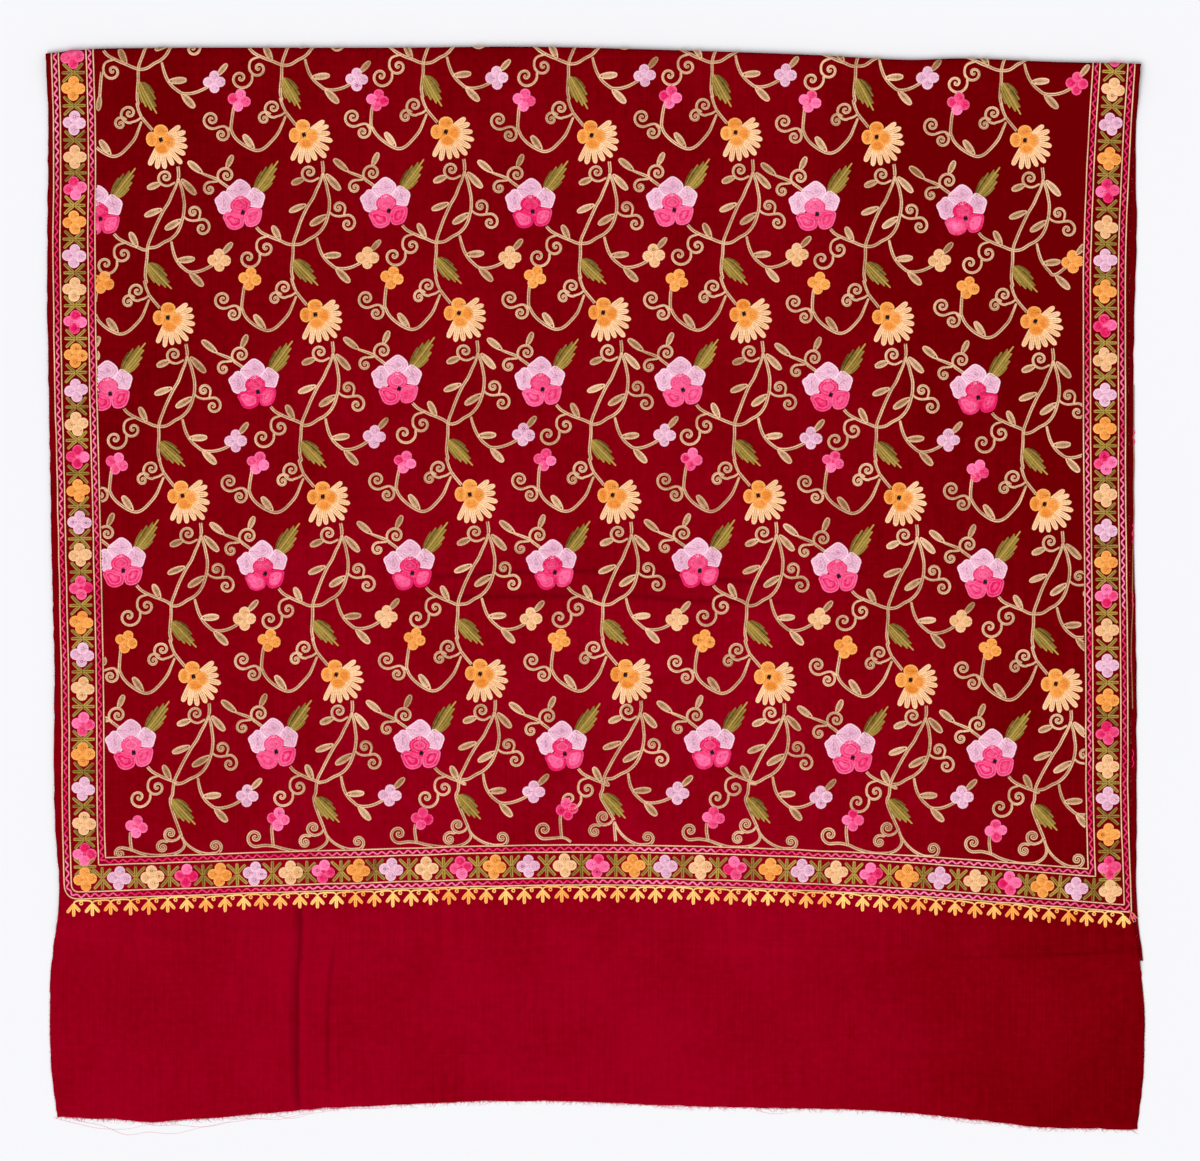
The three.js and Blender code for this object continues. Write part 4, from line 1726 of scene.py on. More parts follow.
        sprig = Sprig(self.repeat, above, self.mark(self.rows, column) + self.foot_lean, foot)
        self.vine(np.vstack([sprig.path(self.repeat.left_stem[:1])[:-2], foot]), (0.6, 1))
        reach = flower[0] - x
        left = [low(0, 0), low(2.6, 0.4), low(0.4, 0.7), low(-7, 0.93), low(-18, 1.0), low(-28, 0.98),
                low(reach + 4, 0.86), low(reach - 4, 0.72), low(reach - 13, 0.66), low(reach - 20, 0.7)]
        if column == self.columns // 2:
            left = [low(reach + 4, 0.9), low(reach - 3, 0.72), low(reach - 13, 0.74), low(reach - 20, 0.76)]
            self.vine([low(0, 0.1), low(0.6, 0.45), low(1.4, 0.85)])
        if column:
            path = scroll(np.array(left), np.array(left[-1]) + [-1.5, 8.2], -100, -330, (8.2, 2.4))
        else:
            left = left[:7] + [low(reach - 6, 0.62), low(reach - 14, 0.5)]
            path = scroll(np.array(left), np.array(left[-1]) + [-1.5, -5.4], 80, 330, (5.4, 1.6))
        self.vine(path, (0.8, 0.5))
        self.vine([flower + [-6, -5], flower + [-6.4, -12], np.array(low(reach - 5, 0.74))], half=0.85)
        right = [low(0, 0.05), low(3.6, 0.36), low(8.4, 0.62), low(15, 0.84), low(23, 0.98), low(30, 0.98)]
        self.vine(scroll(np.array(right), np.array(right[-1]) + [1, 6.6], -80, 330, (6.6, 2.0)), (0.7, 0.5))
        upper = np.array([foot + [-0.6, 1.5], foot + [-4, -2.6], foot + [-9, -4.2]])
        self.vine(scroll(upper, foot + [-10.3, 2.6], -92, -360, (6.6, 1.6)), (0.6, 0.5))
        lower = np.array([foot + [-12.5, -3.6]])
        self.vine(scroll(lower, foot + [-18, -10], 52, 380, (6.4, 1.5)), (0.6, 0.5))
        small = replace(self.small_flower, radius=self.foot_radius)
        small.work(self.sprays, self.hand, flower, self.hand.uniform(-12, 12), Yarn.PINK)

    def green_leaf(self, base: Array, tip: Array, under: bool) -> None:
        """Works a saw-edged leaf as a fan of long stitches.

        Args:
            base: Its foot.
            tip: Its tip.
            under: Whether it is the leaf that hangs under the vine, shaded the other way.
        """
        run = tip - base
        length = float(np.linalg.norm(run))
        ahead = run / length
        side = crossways(ahead) if under else -crossways(ahead)
        for number, spot in enumerate(np.arange(-8.4, 8.5, 1.68)):
            reach = self.repeat.leaf_reach.at(spot) * length
            reach *= 1.0 + (0.07 if number % 2 else -0.07)
            start = -2.4 + 0.35 * abs(spot)
            foot = base + ahead * start + side * spot * 0.42
            middle = base + ahead * (start + 0.45 * (reach - start)) + side * spot * 0.74
            end = base + ahead * reach + side * spot * 0.84
            tone = 0.3 if spot * (1 if under else -1) > 2.4 else 0.62
            if abs(spot) < 1.0:
                tone = 0.95
            tone += self.hand.uniform(-0.08, 0.08) + (0.14 if number % 2 else -0.14)
            work = Stitching(width=1.65, height=0.7, lift=0.12)
            self.greens.run([foot, middle, end], Yarn.OLIVE, tone, work)

    def daisy(self, centre: Array) -> None:
        """Works a half daisy: a fan of cream petals, four orange lobes over it and a black eye.

        Args:
            centre: Its eye.
        """
        shape = self.daisy_shape
        under = centre + rotation(-34) @ np.array([6.5, 0.0])
        self.daisies.disc(under, (9.5, 11.0), -34, [(Yarn.CREAM, 0.4)], Stitching(lift=0.1))
        for number, tip in enumerate(shape.tips):
            turn = rotation(shape.first_turn - shape.turn_step * number + self.hand.uniform(-1.2, 1.2))
            tip *= self.hand.uniform(0.97, 1.03)
            reach = np.array([8.0, 12.0, 16.0, 19.5, tip - 3.6, tip - 1.6, tip - 0.7])
            half = np.array(shape.petal_half) * self.hand.uniform(0.92, 1.06)
            one = beside(reach, half) @ turn.T
            other = beside(reach, -half) @ turn.T
            tone = 0.64 + self.hand.uniform(-0.14, 0.14)
            lift = (0.3, 0.46)[number % 2]
            petal = centre + np.vstack([one, other[::-1]])
            self.daisies.run(petal, Yarn.CREAM, tone + 0.15, Stitching(width=1.6, lift=lift), closed=True)
            inner = [centre + turn @ np.array([r, 0.0]) for r in (8.0, 14.0, 19.0, tip - 1.3)]
            filling = Stitching(width=2.2, height=0.55, lift=lift + 0.1)
            self.daisies.run(inner, Yarn.CREAM, tone - 0.12, filling)
        self.daisies.disc(centre + [1.6, -1.8], (8.6, 8.0), 0, [(Yarn.ORANGE, 0.3)], Stitching(lift=0.86))
        for number, (place, radii) in enumerate(shape.lobes):
            tone = (0.5 if number < 2 else 0.38) + self.hand.uniform(-0.14, 0.14)
            dyes = [(Yarn.ORANGE, tone + step) for step in (0.22, -0.06, -0.2)]
            spot = centre + rotation(self.hand.uniform(-6, 6)) @ np.array(place)
            work = Stitching(lift=(1.0, 1.15)[number % 2])
            self.daisies.disc(spot, radii, 0, dyes, work)
        self.eye(self.daisies, centre, shape.eye_lift)

    def eye(self, needle: Needle, centre: Array, lift: float) -> None:
        """Works the black eye of a flower.

        Args:
            needle: The needle that works it.
            centre: Its middle.
            lift: Its height off the cloth.
        """
        turn = rotation(self.hand.uniform(-25, 25))
        for shift in (-0.75, 0.75):
            ends = np.array([(shift, 2.1), (shift * 1.1, 0.3), (shift * 1.2, -1.9)]) @ turn.T
            needle.run(centre + ends, Yarn.BLACK, 0.3, Stitching(width=1.9, height=0.7, lift=lift))

    def pansy(self, centre: Array) -> None:
        """Works a pansy: three lilac petals above, three pink ones over them and a black eye.

        Args:
            centre: Its eye.
        """
        shape = self.pansy_shape
        turned = rotation(self.hand.uniform(-3, 3))
        self.pansies.disc(centre + [-2.0, 11.0], (9, 8), 0, [(Yarn.LILAC, 0.4)], Stitching(lift=0.1))
        for number, petal in enumerate(shape.upper):
            tone = self.hand.uniform(0.42, 0.58)
            dyes = [(Yarn.LILAC, tone + step) for step in shape.lilac_steps]
            outline = centre + np.array(petal) @ turned.T
            self.pansies.rings(outline, dyes, Stitching(lift=0.26 + 0.1 * number))
        self.pansies.disc(centre + [-1.5, -0.5], (9.5, 4.0), 0, [(Yarn.PINK, 0.2)], Stitching(lift=0.5))
        dark = self.hand.uniform() < shape.dark_share
        rim = shape.dark_rim if dark else shape.light_rim
        middle = shape.dark_middle if dark else shape.light_middle
        for number, (petal, tones) in enumerate(zip(shape.lower, (rim, rim, middle), strict=True)):
            shift = self.hand.uniform(-0.1, 0.1)
            dyes = [(Yarn.PINK, tone + shift + self.hand.uniform(-0.09, 0.09)) for tone in tones]
            outline = centre + np.array(petal) @ turned.T
            self.pansies.rings(outline, dyes, Stitching(lift=0.6 + 0.12 * number))
        self.eye(self.pansies, centre, shape.eye_lift)

    def work(self) -> list[Piece]:
        """Works the whole field and gives its pieces.

        Returns:
            The pieces.
        """
        small, shape = self.small_flower, self.repeat
        for row, column, sprig in self.sprigs():
            self.stems(sprig, row, column)
            bud = Yarn.CREAM if row % 2 else Yarn.LILAC
            if column == self.columns - 1 and row < 2:
                bud = (Yarn.PINK, Yarn.ORANGE)[row]
            centre = self.bud_centre(sprig, row, column)
            small.work(self.sprays, self.hand, centre, 90 + self.hand.uniform(-5, 5), bud)
            if row < self.rows - 1 and row + column:
                low = Yarn.ORANGE if row % 2 else Yarn.PINK
                centre = sprig.at(N, shape.low_flower) + self.strays[3, row, column]
                small.work(self.sprays, self.hand, centre, 75 + self.hand.uniform(-6, 6), low)
            under = shape.under_leaf if row else shape.fold_under_leaf
            self.green_leaf(*(sprig.at(O, end) for end in under), True)
            self.green_leaf(*(sprig.at(P, end) for end in shape.over_leaf), False)
            if row:
                self.pansy(sprig.pansy)
            self.daisy(sprig.daisy)
        self.vine(self.corner_stem)
        base, tip = np.array(self.corner_leaf)
        self.leaves.leaf(base, tip, 2.7, [(Yarn.TAN, 0.5), (Yarn.TAN, 0.2)])
        for column in range(self.columns):
            self.foot(column)
        pieces = {
            "field_vines": self.vines,
            "field_tan_leaves": self.leaves,
            "field_green_leaves": self.greens,
            "field_pansies": self.pansies,
            "field_daisies": self.daisies,
            "field_small_flowers": self.sprays,
        }
        return [needle.build(name) for name, needle in pieces.items()]


# ---- The border ----


@dataclass
class Border:
    """The worked border on three sides: rails, a row of flowers and stars, and the gold edging."""

    face: ClothFace
    rails: FieldFrame
    top: float = 520.0
    outer_round: float = 11.0
    zigzag_pitch: float = 8.3
    zigzag_half: float = 1.4
    shade_run: int = 24
    blossom: Quatrefoil = Quatrefoil(
        5.1, 6.0, 2.2, (0.22, 0.4, 0.45), (0.1, 0.3, 0.75), (0.96, 1.05), (0.96, 1.04)
    )
    edging_first: float = -487.0
    edging_last: float = 493.4
    edging_count: int = 57
    edging_drop: float = 7.2
    side_flowers: int = 25
    bottom_flowers: int = 29
    first_flower: float = 497.0
    corner_room: float = 22.0
    bottom_corner_room: float = 30.8
    star_room: float = 19.0
    flower_unevenness: float = 1.4
    bottom_order: tuple[Yarn, ...] = (Yarn.ORANGE, Yarn.LILAC, Yarn.CREAM, Yarn.PINK)
    side_order: tuple[Yarn, ...] = (Yarn.PINK, Yarn.ORANGE, Yarn.LILAC, Yarn.CREAM)

    def __post_init__(self) -> None:
        """Threads one needle for each kind of piece."""
        self.lines = Needle(self.face, seed=31, wobble=0.25, settle=(0.0, 0.0))
        self.flowers = Needle(self.face, seed=32, wobble=0.3)
        self.stars = Needle(self.face, seed=33, wobble=0.3)
        self.edging = Needle(self.face, seed=34, wobble=0.4)
        self.hand = np.random.default_rng(78)

    def three_sides(self, rail: Rail, offset: float, rounding: float) -> Array:
        """Points of a line beside a rail, round all three sides.

        Args:
            rail: The rail.
            offset: How far outside the rail's middle line it runs.
            rounding: Radius of its lower left corner.

        Returns:
            Its points, one every few millimetres.
        """
        (x_left, y_left), (x_right, y_right) = rail.corners
        radius = rounding + offset if rounding else 0.0
        down = np.arange(self.top, y_left - offset + radius, -4.0)
        over = np.arange(x_left - offset + radius + 0.01, x_right + offset, 4.0)
        up = np.arange(y_right - offset, self.top, 4.0)
        first = beside(rail.left.read(down) - offset, down)
        second = beside(over, rail.foot.read(over) - offset)
        third = beside(rail.right.read(up) + offset, up)
        corner = np.array([[x_left - offset, y_left - offset]])
        if rounding:
            t = np.linspace(0, 1, 8)[1:-1, None]
            corner = first[-1] * (1 - t) ** 2 + 2 * corner * t * (1 - t) + second[0] * t**2
        end = np.array([[x_right + offset, y_right - offset]])
        return np.vstack([first, corner, second, end, third])

    def rail(self, rail: Rail, rounding: float) -> None:
        """Works a rail: a pink zigzag between two tan lines.

        Args:
            rail: Where it runs.
            rounding: Radius of its lower left corner, 0 for a sharp one.
        """
        for offset in (-self.rails.line_offset - 0.35, self.rails.line_offset):
            line = self.three_sides(rail, offset, rounding)
            self.lines.run(line, Yarn.TAN, 0.78, Stitching(width=1.35, height=0.5), curved=False)
        path = self.three_sides(rail, 0.0, rounding)
        side = sideways(path)
        step = lengths(path)
        count = int(step[-1] / self.zigzag_pitch * 2)
        at = np.linspace(0, step[-1], count)
        at = at + self.hand.uniform(-0.5, 0.5, count)
        swing = np.where(np.arange(count) % 2, 1.0, -1.0) * self.zigzag_half
        swing = swing * self.hand.uniform(0.7, 1.25, count)
        zigzag = smooth_curve(between(at, step, path) + between(at, step, side) * swing[:, None], steps=4)
        shade = SoftNoise(91, 70, 70).read(zigzag[:, 0], zigzag[:, 1])
        for start in range(0, len(zigzag) - 1, self.shade_run):
            part = slice(start, start + self.shade_run + 1)
            tone = min(max(0.28 + 0.95 * float(shade[part].mean()), 0.02), 0.85)
            self.lines.run(zigzag[part], Yarn.PINK, tone, Stitching(width=1.75), curved=False)

    def star(self, centre: Array, run: Array) -> None:
        """Works a six-armed olive star between two flowers.

        Args:
            centre: Its middle.
            run: Direction of the border.
        """
        ahead = run / np.linalg.norm(run)
        side = crossways(ahead)
        light = self.hand.uniform(0.5, 0.85)
        for along, across in ((8.6, 9.6), (8.6, -9.6), (-8.6, 9.6), (-8.6, -9.6), (0, 10.9), (0, -10.9)):
            tip = ahead * along * self.hand.uniform(0.9, 1.08)
            tip = tip + side * across * self.hand.uniform(0.92, 1.04)
            bend = tip * 0.5 + ahead * along * -0.05
            tone = light + self.hand.uniform(-0.18, 0.18)
            work = Stitching(width=1.4, height=0.6, lift=0.1 if along else 0.2)
            arm = [centre + tip * 0.04, centre + bend, centre + tip]
            self.stars.double(arm, Yarn.OLIVE, tone, 0.85, work, taper=(0.3, 0.55))

    def even(self, start: float, end: float, count: int) -> Array:
        """Places at an even pitch, each a little off as marked by hand."""
        off = self.hand.uniform(-self.flower_unevenness, self.flower_unevenness, count)
        return np.linspace(start, end, count) + off

    def side_row(self, places: Array, outer: Edge, inner: Edge) -> list[tuple[Array, Yarn]]:
        """Middles and yarns of a side's flowers, halfway between its two rails."""
        middles = [np.array([(outer.at(y) + inner.at(y)) / 2, y]) for y in places]
        return [(middle, self.side_order[number % 4]) for number, middle in enumerate(middles)]

    def flower_row(self) -> None:
        """Works the flowers and stars round the three sides."""
        rails = self.rails
        corners = (np.array(rails.inner.corners) + np.array(rails.outer.corners)) / 2
        row: list[tuple[Array, Yarn]] = []
        left = self.even(self.first_flower, corners[0, 1] + self.corner_room, self.side_flowers)
        row += self.side_row(left, rails.outer.left, rails.inner.left)
        row.append((corners[0], self.bottom_order[0]))
        room = self.bottom_corner_room
        bottom = self.even(corners[0, 0] + room, corners[1, 0] - room, self.bottom_flowers)
        for number, x in enumerate(bottom, start=1):
            y = (rails.inner.foot.at(x) + rails.outer.foot.at(x)) / 2
            row.append((np.array([x, y]), self.bottom_order[number % 4]))
        row.append((corners[1], self.bottom_order[2]))
        right = self.even(corners[1, 1] + self.corner_room, self.first_flower, self.side_flowers)
        row += self.side_row(right, rails.outer.right, rails.inner.right)
        for centre, yarn in row:
            self.blossom.work(self.flowers, self.hand, centre, self.hand.uniform(-9, 9), yarn)
        for (here, _), (there, _) in zip(row[:-1], row[1:], strict=True):
            if np.linalg.norm(there - here) > self.star_room:
                self.star((here + there) / 2, there - here)

    def petal(self, base: Array, tip: Array, tone: float) -> None:
        """Works one round-ended petal of the edging as a narrow loop.

        Args:
            base: Its foot.
            tip: Its tip.
            tone: Dark to light.
        """
        run = tip - base
        side = crossways(run) / np.linalg.norm(run)
        places = ((0.0, 0.3), (0.3, 0.75), (0.65, 0.95), (0.9, 0.85), (1.0, 0.3))
        one = [base + run * t + side * half for t, half in places]
        other = [base + run * t - side * half for t, half in reversed(places)]
        self.edging.run(np.array(one + other), Yarn.GOLD, tone + 0.12, Stitching(width=1.45), closed=True)
        vein = [base + run * t for t in (0.1, 0.5, 0.88)]
        self.edging.run(vein, Yarn.GOLD, tone - 0.3, Stitching(width=1.1))

    def gold_edging(self) -> None:
        """Works the scalloped gold edging under the border: petals, arches and curls."""
        previous = None
        for x in np.linspace(self.edging_first, self.edging_last, self.edging_count):
            x += self.hand.uniform(-0.7, 0.7)
            y = self.rails.outer.foot.at(x) - self.edging_drop
            base = np.array([x, y + self.hand.uniform(-0.4, 0.4)])
            tone = 0.5 + self.hand.uniform(-0.3, 0.3)
            for tip in ((-6.0, -7.8), (6.2, -7.4), (0.1, -11.6)):
                self.petal(base, base + np.array(tip) * self.hand.uniform(0.92, 1.06), tone)
            if previous is not None:
                top = self.edging_drop - 4.3
                arch = [previous, previous + [0.8, top * 0.6], previous + [3.4, top],
                        base + [-3.4, top], base + [-0.8, top * 0.6], base]
                self.edging.run(arch, Yarn.GOLD, tone + 0.2, Stitching(width=1.55, lift=0.15))
                hang = lerp(previous, base, 0.41) + np.array([0.0, top - 2.4])
                around = np.radians(np.arange(0, 360, 45))
                ring = hang + 1.45 * beside(np.cos(around), np.sin(around))
                self.edging.run(ring, Yarn.GOLD, tone + 0.1, Stitching(width=1.4, lift=0.1), closed=True)
            previous = base

    def loose_end(self) -> None:
        """Works the knotted yarn ends at the lower right corner."""
        corner = np.array(self.rails.outer.corners[1])
        for number in range(7):
            start = corner + self.hand.uniform(-1.6, 1.6, 2) + [1.2, -1.5]
            path = np.cumsum(np.vstack([start, self.hand.normal([0.9, -1.5], 1.5, (4, 2))]), axis=0)
            yarn = (Yarn.PINK, Yarn.ORANGE)[number % 2]
            self.edging.run(path, yarn, 0.4, Stitching(width=0.9, height=0.8, lift=0.1 * number))

    def work(self) -> list[Piece]:
        """Works the whole border and gives its pieces.

        Returns:
            The pieces.
        """
        self.rail(self.rails.inner, 0.0)
        self.rail(self.rails.outer, self.outer_round)
        self.flower_row()
        self.gold_edging()
        self.loose_end()
        pieces = {
            "border_rails": self.lines,
            "border_flowers": self.flowers,
            "border_stars": self.stars,
            "gold_edging": self.edging,
        }
        return [needle.build(name) for name, needle in pieces.items()]


@dataclass
class UnderFace(ClothFace):
    """The under layer's upper face, which shows as a narrow strip at the right."""

    def place(self, across: Array, along: Array, lift: Array) -> Array:
        """Points just over the under layer, given in the upper layer's coordinates."""
        y = self.lay.y_at(across, along)
        return np.stack([self.lay.front_x(across, y), y, self.lay.wall + lift], axis=-1)


@dataclass
class UnderStrip:
    """The backs of the under layer's outer stitches where that layer shows at the right."""

    face: UnderFace
    line: Points = ((502.6, 190), (502.2, 110), (502.0, 26), (501, -20), (500.2, -62), (501.4, -112))
    bits: Points = ((502.4, 150), (501.6, 60), (501.3, -2), (499.6, -62), (501.5, -150))

    def work(self) -> Piece:
        """Works the dim line and the bits of zigzag that show.

        Returns:
            The piece.
        """
        needle = Needle(self.face, seed=35, wobble=0.5)
        thin = Stitching(width=1.1, height=0.35)
        needle.run(self.line, Yarn.TAN, 0.05, thin)
        for x, y in self.bits:
            bit = [(x + (0.7 if k % 2 else -0.7), y - 4.2 * k) for k in range(5)]
            needle.run(bit, Yarn.PINK, 0.0, thin)
        return needle.build("under_layer_stitches")


# ---- The cloth itself ----


@dataclass
class ShawlCloth:
    """The one length of wool: under layer, bend and upper layer, as a closed thin wall."""

    face: ClothFace
    finish: WoolFinish = WoolFinish("crimson_wool")
    back_spacing: float = 12.0
    bend_steps: int = 14
    ragged: float = 0.55

    def skins(self) -> tuple[Array, Array, Array]:
        """Outer and inner skin and the unrolled length of each row.

        Returns:
            Two grids of points and one grid of lengths, all with a row for each line across.
        """
        lay, face = self.face.lay, self.face
        columns = face.across
        outer, inner, length = [], [], []
        back_rows = int(lay.back_length / self.back_spacing)
        for share in np.linspace(1, 0, back_rows, endpoint=False):
            along = lay.bend_at + share * (lay.back_end.read(columns) - lay.bend_at)
            y = lay.y_at(columns, along)
            x = lay.back_x(columns, along, y)
            outer.append(beside(x, y, np.zeros_like(x)))
            inner.append(beside(x, y, np.full_like(x, lay.wall)))
            length.append(-along - face.arc() + 2 * lay.bend_at)
        half = face.bend_height(columns) / 2
        for step in range(self.bend_steps + 1):
            turn = 1 - step / self.bend_steps
            angle = math.pi * (0.5 - turn)
            for skin, inset in ((outer, 0.0), (inner, lay.wall)):
                along = lay.bend_at - (lay.bend_at - inset) * math.cos(angle)
                z = half + (half - inset) * math.sin(angle)
                y = lay.y_at(columns, np.full_like(columns, along))
                x = lerp(lay.front_x(columns, y), lay.back_x(columns, along, y), turn)
                skin.append(beside(x, y, z))
            length.append(np.full_like(columns, lay.bend_at - turn * face.arc()))
        for row, along in enumerate(face.along[1:], start=1):
            y = lay.y_at(columns, np.full_like(columns, along))
            x = lay.front_x(columns, y)
            outer.append(np.stack([x, y, face.height[row]], axis=1))
            inner.append(np.stack([x, y, face.height[row] - lay.wall * 0.8], axis=1))
            length.append(np.full_like(columns, along))
        return np.array(outer), np.array(inner), np.array(length)

    def fray(self, skin: Array) -> Array:
        """Makes the selvedges and the raw ends a little uneven.

        Args:
            skin: A grid of points.

        Returns:
            The same grid.
        """
        rough = SoftNoise(41, 5, 5), SoftNoise(42, 7, 7)
        for index, sign in ((0, -1.0), (-1, 1.0)):
            skin[:, index, 0] += sign * self.ragged * rough[0].read(skin[:, index, 1], skin[:, index, 0])
            skin[index, :, 1] += 1.4 * self.ragged * rough[1].read(skin[index, :, 0], skin[index, :, 1])
        return skin

    def build(self) -> Piece:
        """Makes the cloth and dresses it.

        Returns:
            The piece.
        """
        outer, inner, length = self.skins()
        outer, inner = self.fray(outer), self.fray(inner)
        rows, columns = outer.shape[:2]
        vertices = np.vstack([outer.reshape(-1, 3), inner.reshape(-1, 3)])
        index = np.arange(rows * columns).reshape(rows, columns)
        a, b, c, d = index[:-1, :-1], index[:-1, 1:], index[1:, 1:], index[1:, :-1]
        skin = np.stack([a, d, c, b], axis=-1).reshape(-1, 4)
        other = np.stack([a, b, c, d], axis=-1).reshape(-1, 4) + rows * columns
        quads = [skin, other]
        size = rows * columns
        rims = [index[:, 0], index[-1, :], index[::-1, -1], index[0, ::-1]]
        for rim in rims:
            start, end = rim[:-1], rim[1:]
            quads.append(beside(start, start + size, end + size, end))
        across = np.tile(self.face.across / self.face.lay.width, rows)
        run = (length.ravel() + BAKE_START) / BAKE_LENGTH
        halves = [beside(side + across * 0.49, run) for side in (0.0, 0.51)]
        bake = np.vstack(halves)
        x, y = outer[:, :, 0].ravel(), outer[:, :, 1].ravel()
        # Painted shade along the pressed crease lines, kept to the upper layer.
        crease_shade = np.where(length.ravel() > 0, self.face.lay.crease_shading(x, y), 0.0)
        parts = MeshParts(vertices, np.vstack(quads), {"OFBake": bake}, {"crease_shade": np.tile(crease_shade, 2)})
        return parts.make("shawl_cloth", [self.finish.make()])


@dataclass
class LooseFibres:
    """Short broken yarns along the raw end and the selvedges, and long threads that came loose."""

    face: ClothFace
    end_count: int = 4600
    side_count: int = 1300
    thickness: float = 0.13
    thread_thickness: float = 0.16
    long_share: float = 0.16
    finish: YarnFinish = YarnFinish("loose_wool", (182, 24, 52), (244, 172, 184), 0.05, 0.9)
    threads: tuple[tuple[float, float, float], ...] = (
        (-506, -404, 10), (-488, -330, 15), (-428, -262, 8), (-352, -236, 6), (-300, -262, 9),
        (-248, -160, 3), (148, 190, 6), (60, 92, 3), (330, 372, 3),
    )

    def __post_init__(self) -> None:
        """Starts the seeded unevenness and the empty mesh."""
        self.hand = np.random.default_rng(5)
        self.vertices: list[Array] = []
        self.quads: list[Array] = []
        self.tones: list[Array] = []
        self.base = 0

    def fibre(self, path: Array, radius: float, tone: float) -> None:
        """Adds a thin three-sided tube that narrows to its end.

        Args:
            path: Its points.
            radius: Half its thickness at the root.
            tone: Dark to light.
        """
        run = unit(np.gradient(path, axis=0))
        side = unit(np.cross(run, [0.0, 0.0, 1.0]))
        up = np.cross(side, run)
        size = radius * np.linspace(1.0, 0.35, len(path))[:, None]
        angles = np.radians([90, 210, 330])
        rings = [path + size * (math.cos(t) * side + math.sin(t) * up) for t in angles]
        start = 3 * np.arange(len(path) - 1)
        faces = [
            beside(start + k, start + (k + 1) % 3, start + 3 + (k + 1) % 3, start + 3 + k)
            for k in range(3)
        ]
        self.vertices.append(np.stack(rings, axis=1).reshape(-1, 3))
        self.quads.append(np.vstack(faces) + self.base)
        self.tones.append(np.full(3 * len(path), tone))
        self.base += 3 * len(path)

    def raw_end(self) -> None:
        """Frays the raw end."""
        lay, hand, count = self.face.lay, self.hand, self.end_count
        across = hand.uniform(1, lay.width - 1, count)
        y = lay.y_at(across, np.full(count, lay.front_length - 0.8))
        x = lay.front_x(across, y)
        z = self.face.read(across, np.full(count, lay.front_length)) - 0.45
        long = hand.uniform(size=count) < self.long_share
        reach = np.where(long, hand.uniform(2.2, 5.5, count), hand.uniform(1.0, 2.4, count))
        lean, bend = hand.normal(0, 0.7, count), hand.normal(0, 0.6, count)
        t = np.array([0.0, 0.5, 1.0])
        for k in range(count):
            down = max(0.14, z[k] * 0.3)
            path = np.stack([
                x[k] + reach[k] * (lean[k] * 0.6 * t + bend[k] * t * t),
                y[k] - reach[k] * t,
                np.array([z[k], (z[k] + down) / 2, down]),
            ], axis=1)
            self.fibre(path, self.thickness, hand.uniform(0.0, 0.75))

    def selvedges(self) -> None:
        """Roughens both selvedges."""
        lay, hand, count = self.face.lay, self.hand, self.side_count
        along = hand.uniform(20, lay.front_length, count)
        t = np.array([0.0, 0.5, 1.0])
        for k in range(count):
            across, out = (0.0, -1.0) if k % 3 else (lay.width, 1.0)
            spot = np.array([across])
            y = lay.y_at(spot, np.array([along[k]]))[0]
            x = lay.front_x(spot, np.array([y]))[0] - out * 0.5
            z = self.face.read(spot, np.array([along[k]]))[0] - 0.5
            reach = hand.uniform(0.7, 1.8)
            bend = hand.normal(0, 0.7)
            path = beside(x + out * reach * t, y + reach * bend * t, np.full(3, max(z, 0.15)))
            self.fibre(path, self.thickness * 0.9, hand.uniform(0.0, 0.7))

    def long_threads(self) -> None:
        """Lays a few long loose threads on the floor beside the raw end."""
        lay = self.face.lay
        for number, (start, end, drop) in enumerate(self.threads):
            t = np.linspace(0, 1, 48)
            x = lerp(start, end, t)
            waves = SoftNoise(60 + number, 24, 24).read(x, np.full_like(x, 3.0 * number))
            across, _ = lay.to_cloth(x, np.full_like(x, -490.0))
            edge = lay.raw_end.read(across)
            y = edge - 0.6 - drop * np.sin(math.pi * t) ** 0.8 * (0.75 + 0.35 * waves)
            path = beside(x, y, np.full_like(x, 0.2))
            self.fibre(path, self.thread_thickness, 0.95)

    def build(self) -> Piece:
        """Makes all the fibres one piece.

        Returns:
            The piece.
        """
        self.raw_end()
        self.selvedges()
        self.long_threads()
        everything = np.vstack(self.vertices)
        parts = MeshParts(
            everything,
            np.vstack(self.quads),
            {"stitch": np.zeros((len(everything), 2)) + [0.25, 0.5]},
            {"tone": np.concatenate(self.tones)},
        )
        return parts.make("frayed_ends", [self.finish.make()])


# ---- The studio ----


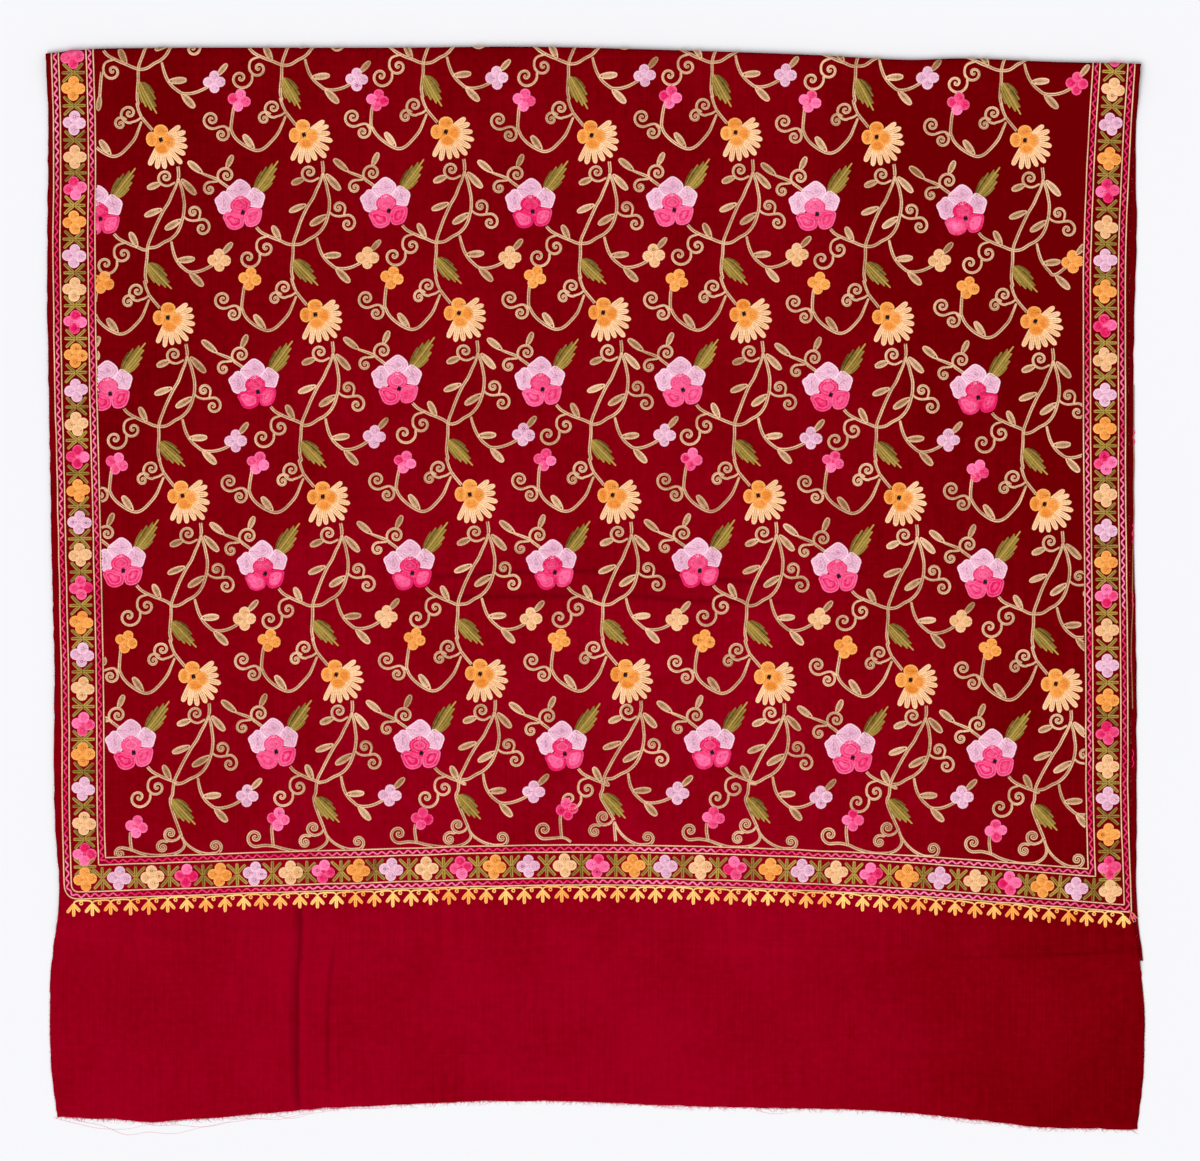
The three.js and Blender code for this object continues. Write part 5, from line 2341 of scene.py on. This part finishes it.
@dataclass
class Studio:
    """A pale floor, soft light from the lower left and a camera straight above."""

    camera_height: float = 6.0
    view_width: float = 1.1208
    centre: Pair = (0.0044, 0.0072)
    floor_half: float = 4.0
    floor_colour: Rgb = (221, 221, 224)
    floor_drop: float = 0.05
    sky: float = 0.80
    key: float = 2.08
    key_softness: float = 40.0
    key_tilt: Pair = (31.0, -26.0)
    sensor: float = 36.0

    def floor(self) -> None:
        """Makes the floor."""
        half = self.floor_half / MM
        signs = ((-1, -1), (1, -1), (1, 1), (-1, 1))
        corners = np.array([(x * half, y * half, -self.floor_drop) for x, y in signs])
        g = Graph("pale_floor")
        where = g.add("ShaderNodeTexCoord").outputs["Object"]
        base = linear(self.floor_colour)
        dim = tuple(0.985 * c for c in base[:3]) + (1.0,)
        g.join(g.mix(g.noise(where, 3.0), base, dim), g.shader.inputs["Base Color"])
        g.gloss(0.85, 0.1)
        MeshParts(corners, np.array([[0, 1, 2, 3]])).make("floor", [g.material])

    def lights(self) -> None:
        """Sets the sky and a soft key light."""
        world = bpy.data.worlds.new("studio")
        world.use_nodes = True
        background = world.node_tree.nodes["Background"]
        background.inputs["Color"].default_value = (1.0, 1.0, 1.0, 1.0)
        background.inputs["Strength"].default_value = self.sky
        bpy.context.scene.world = world
        sun = bpy.data.lights.new("key", "SUN")
        sun.energy = self.key
        sun.angle = math.radians(self.key_softness)
        lamp = bpy.data.objects.new("key", sun)
        lamp.rotation_euler = (*(math.radians(tilt) for tilt in self.key_tilt), 0)
        bpy.context.scene.collection.objects.link(lamp)

    def camera(self) -> None:
        """Sets the camera straight above the shawl."""
        data = bpy.data.cameras.new("camera")
        data.sensor_width = self.sensor
        data.lens = self.sensor * self.camera_height / self.view_width
        camera = bpy.data.objects.new("camera", data)
        camera.location = (self.centre[0], self.centre[1], self.camera_height)
        bpy.context.scene.collection.objects.link(camera)
        bpy.context.scene.camera = camera
        bpy.context.scene.view_settings.view_transform = "Standard"

    def build(self) -> None:
        """Makes the whole studio."""
        self.floor()
        self.lights()
        self.camera()


# ---- Making ----


def dress(piece: Piece) -> Piece:
    """Lets a piece ride with the shawl and logs how many triangles it has.

    Args:
        piece: The piece.

    Returns:
        The same piece.
    """
    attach(piece, "root")
    triangles = sum(len(polygon.vertices) - 2 for polygon in piece.data.polygons)
    LOG.info("%s: %d triangles", piece.name, triangles)
    return piece


def main() -> None:
    """Builds the shawl and its studio."""
    logging.basicConfig(level=logging.INFO, format="%(message)s")
    lay = LaidCloth()
    face = ClothFace(lay)
    rails = FieldFrame(lay)
    sewing = [dress(piece) for piece in VineField(face, rails).work()]
    sewing += [dress(piece) for piece in Border(face, rails).work()]
    sewing.append(dress(UnderStrip(UnderFace(lay)).work()))
    sewing.append(dress(LooseFibres(face).build()))
    cloth = dress(ShawlCloth(face).build())
    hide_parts("shawl_front", "shawl_fold", "shawl_back")
    Studio().build()


if __name__ == "__main__":
    main()
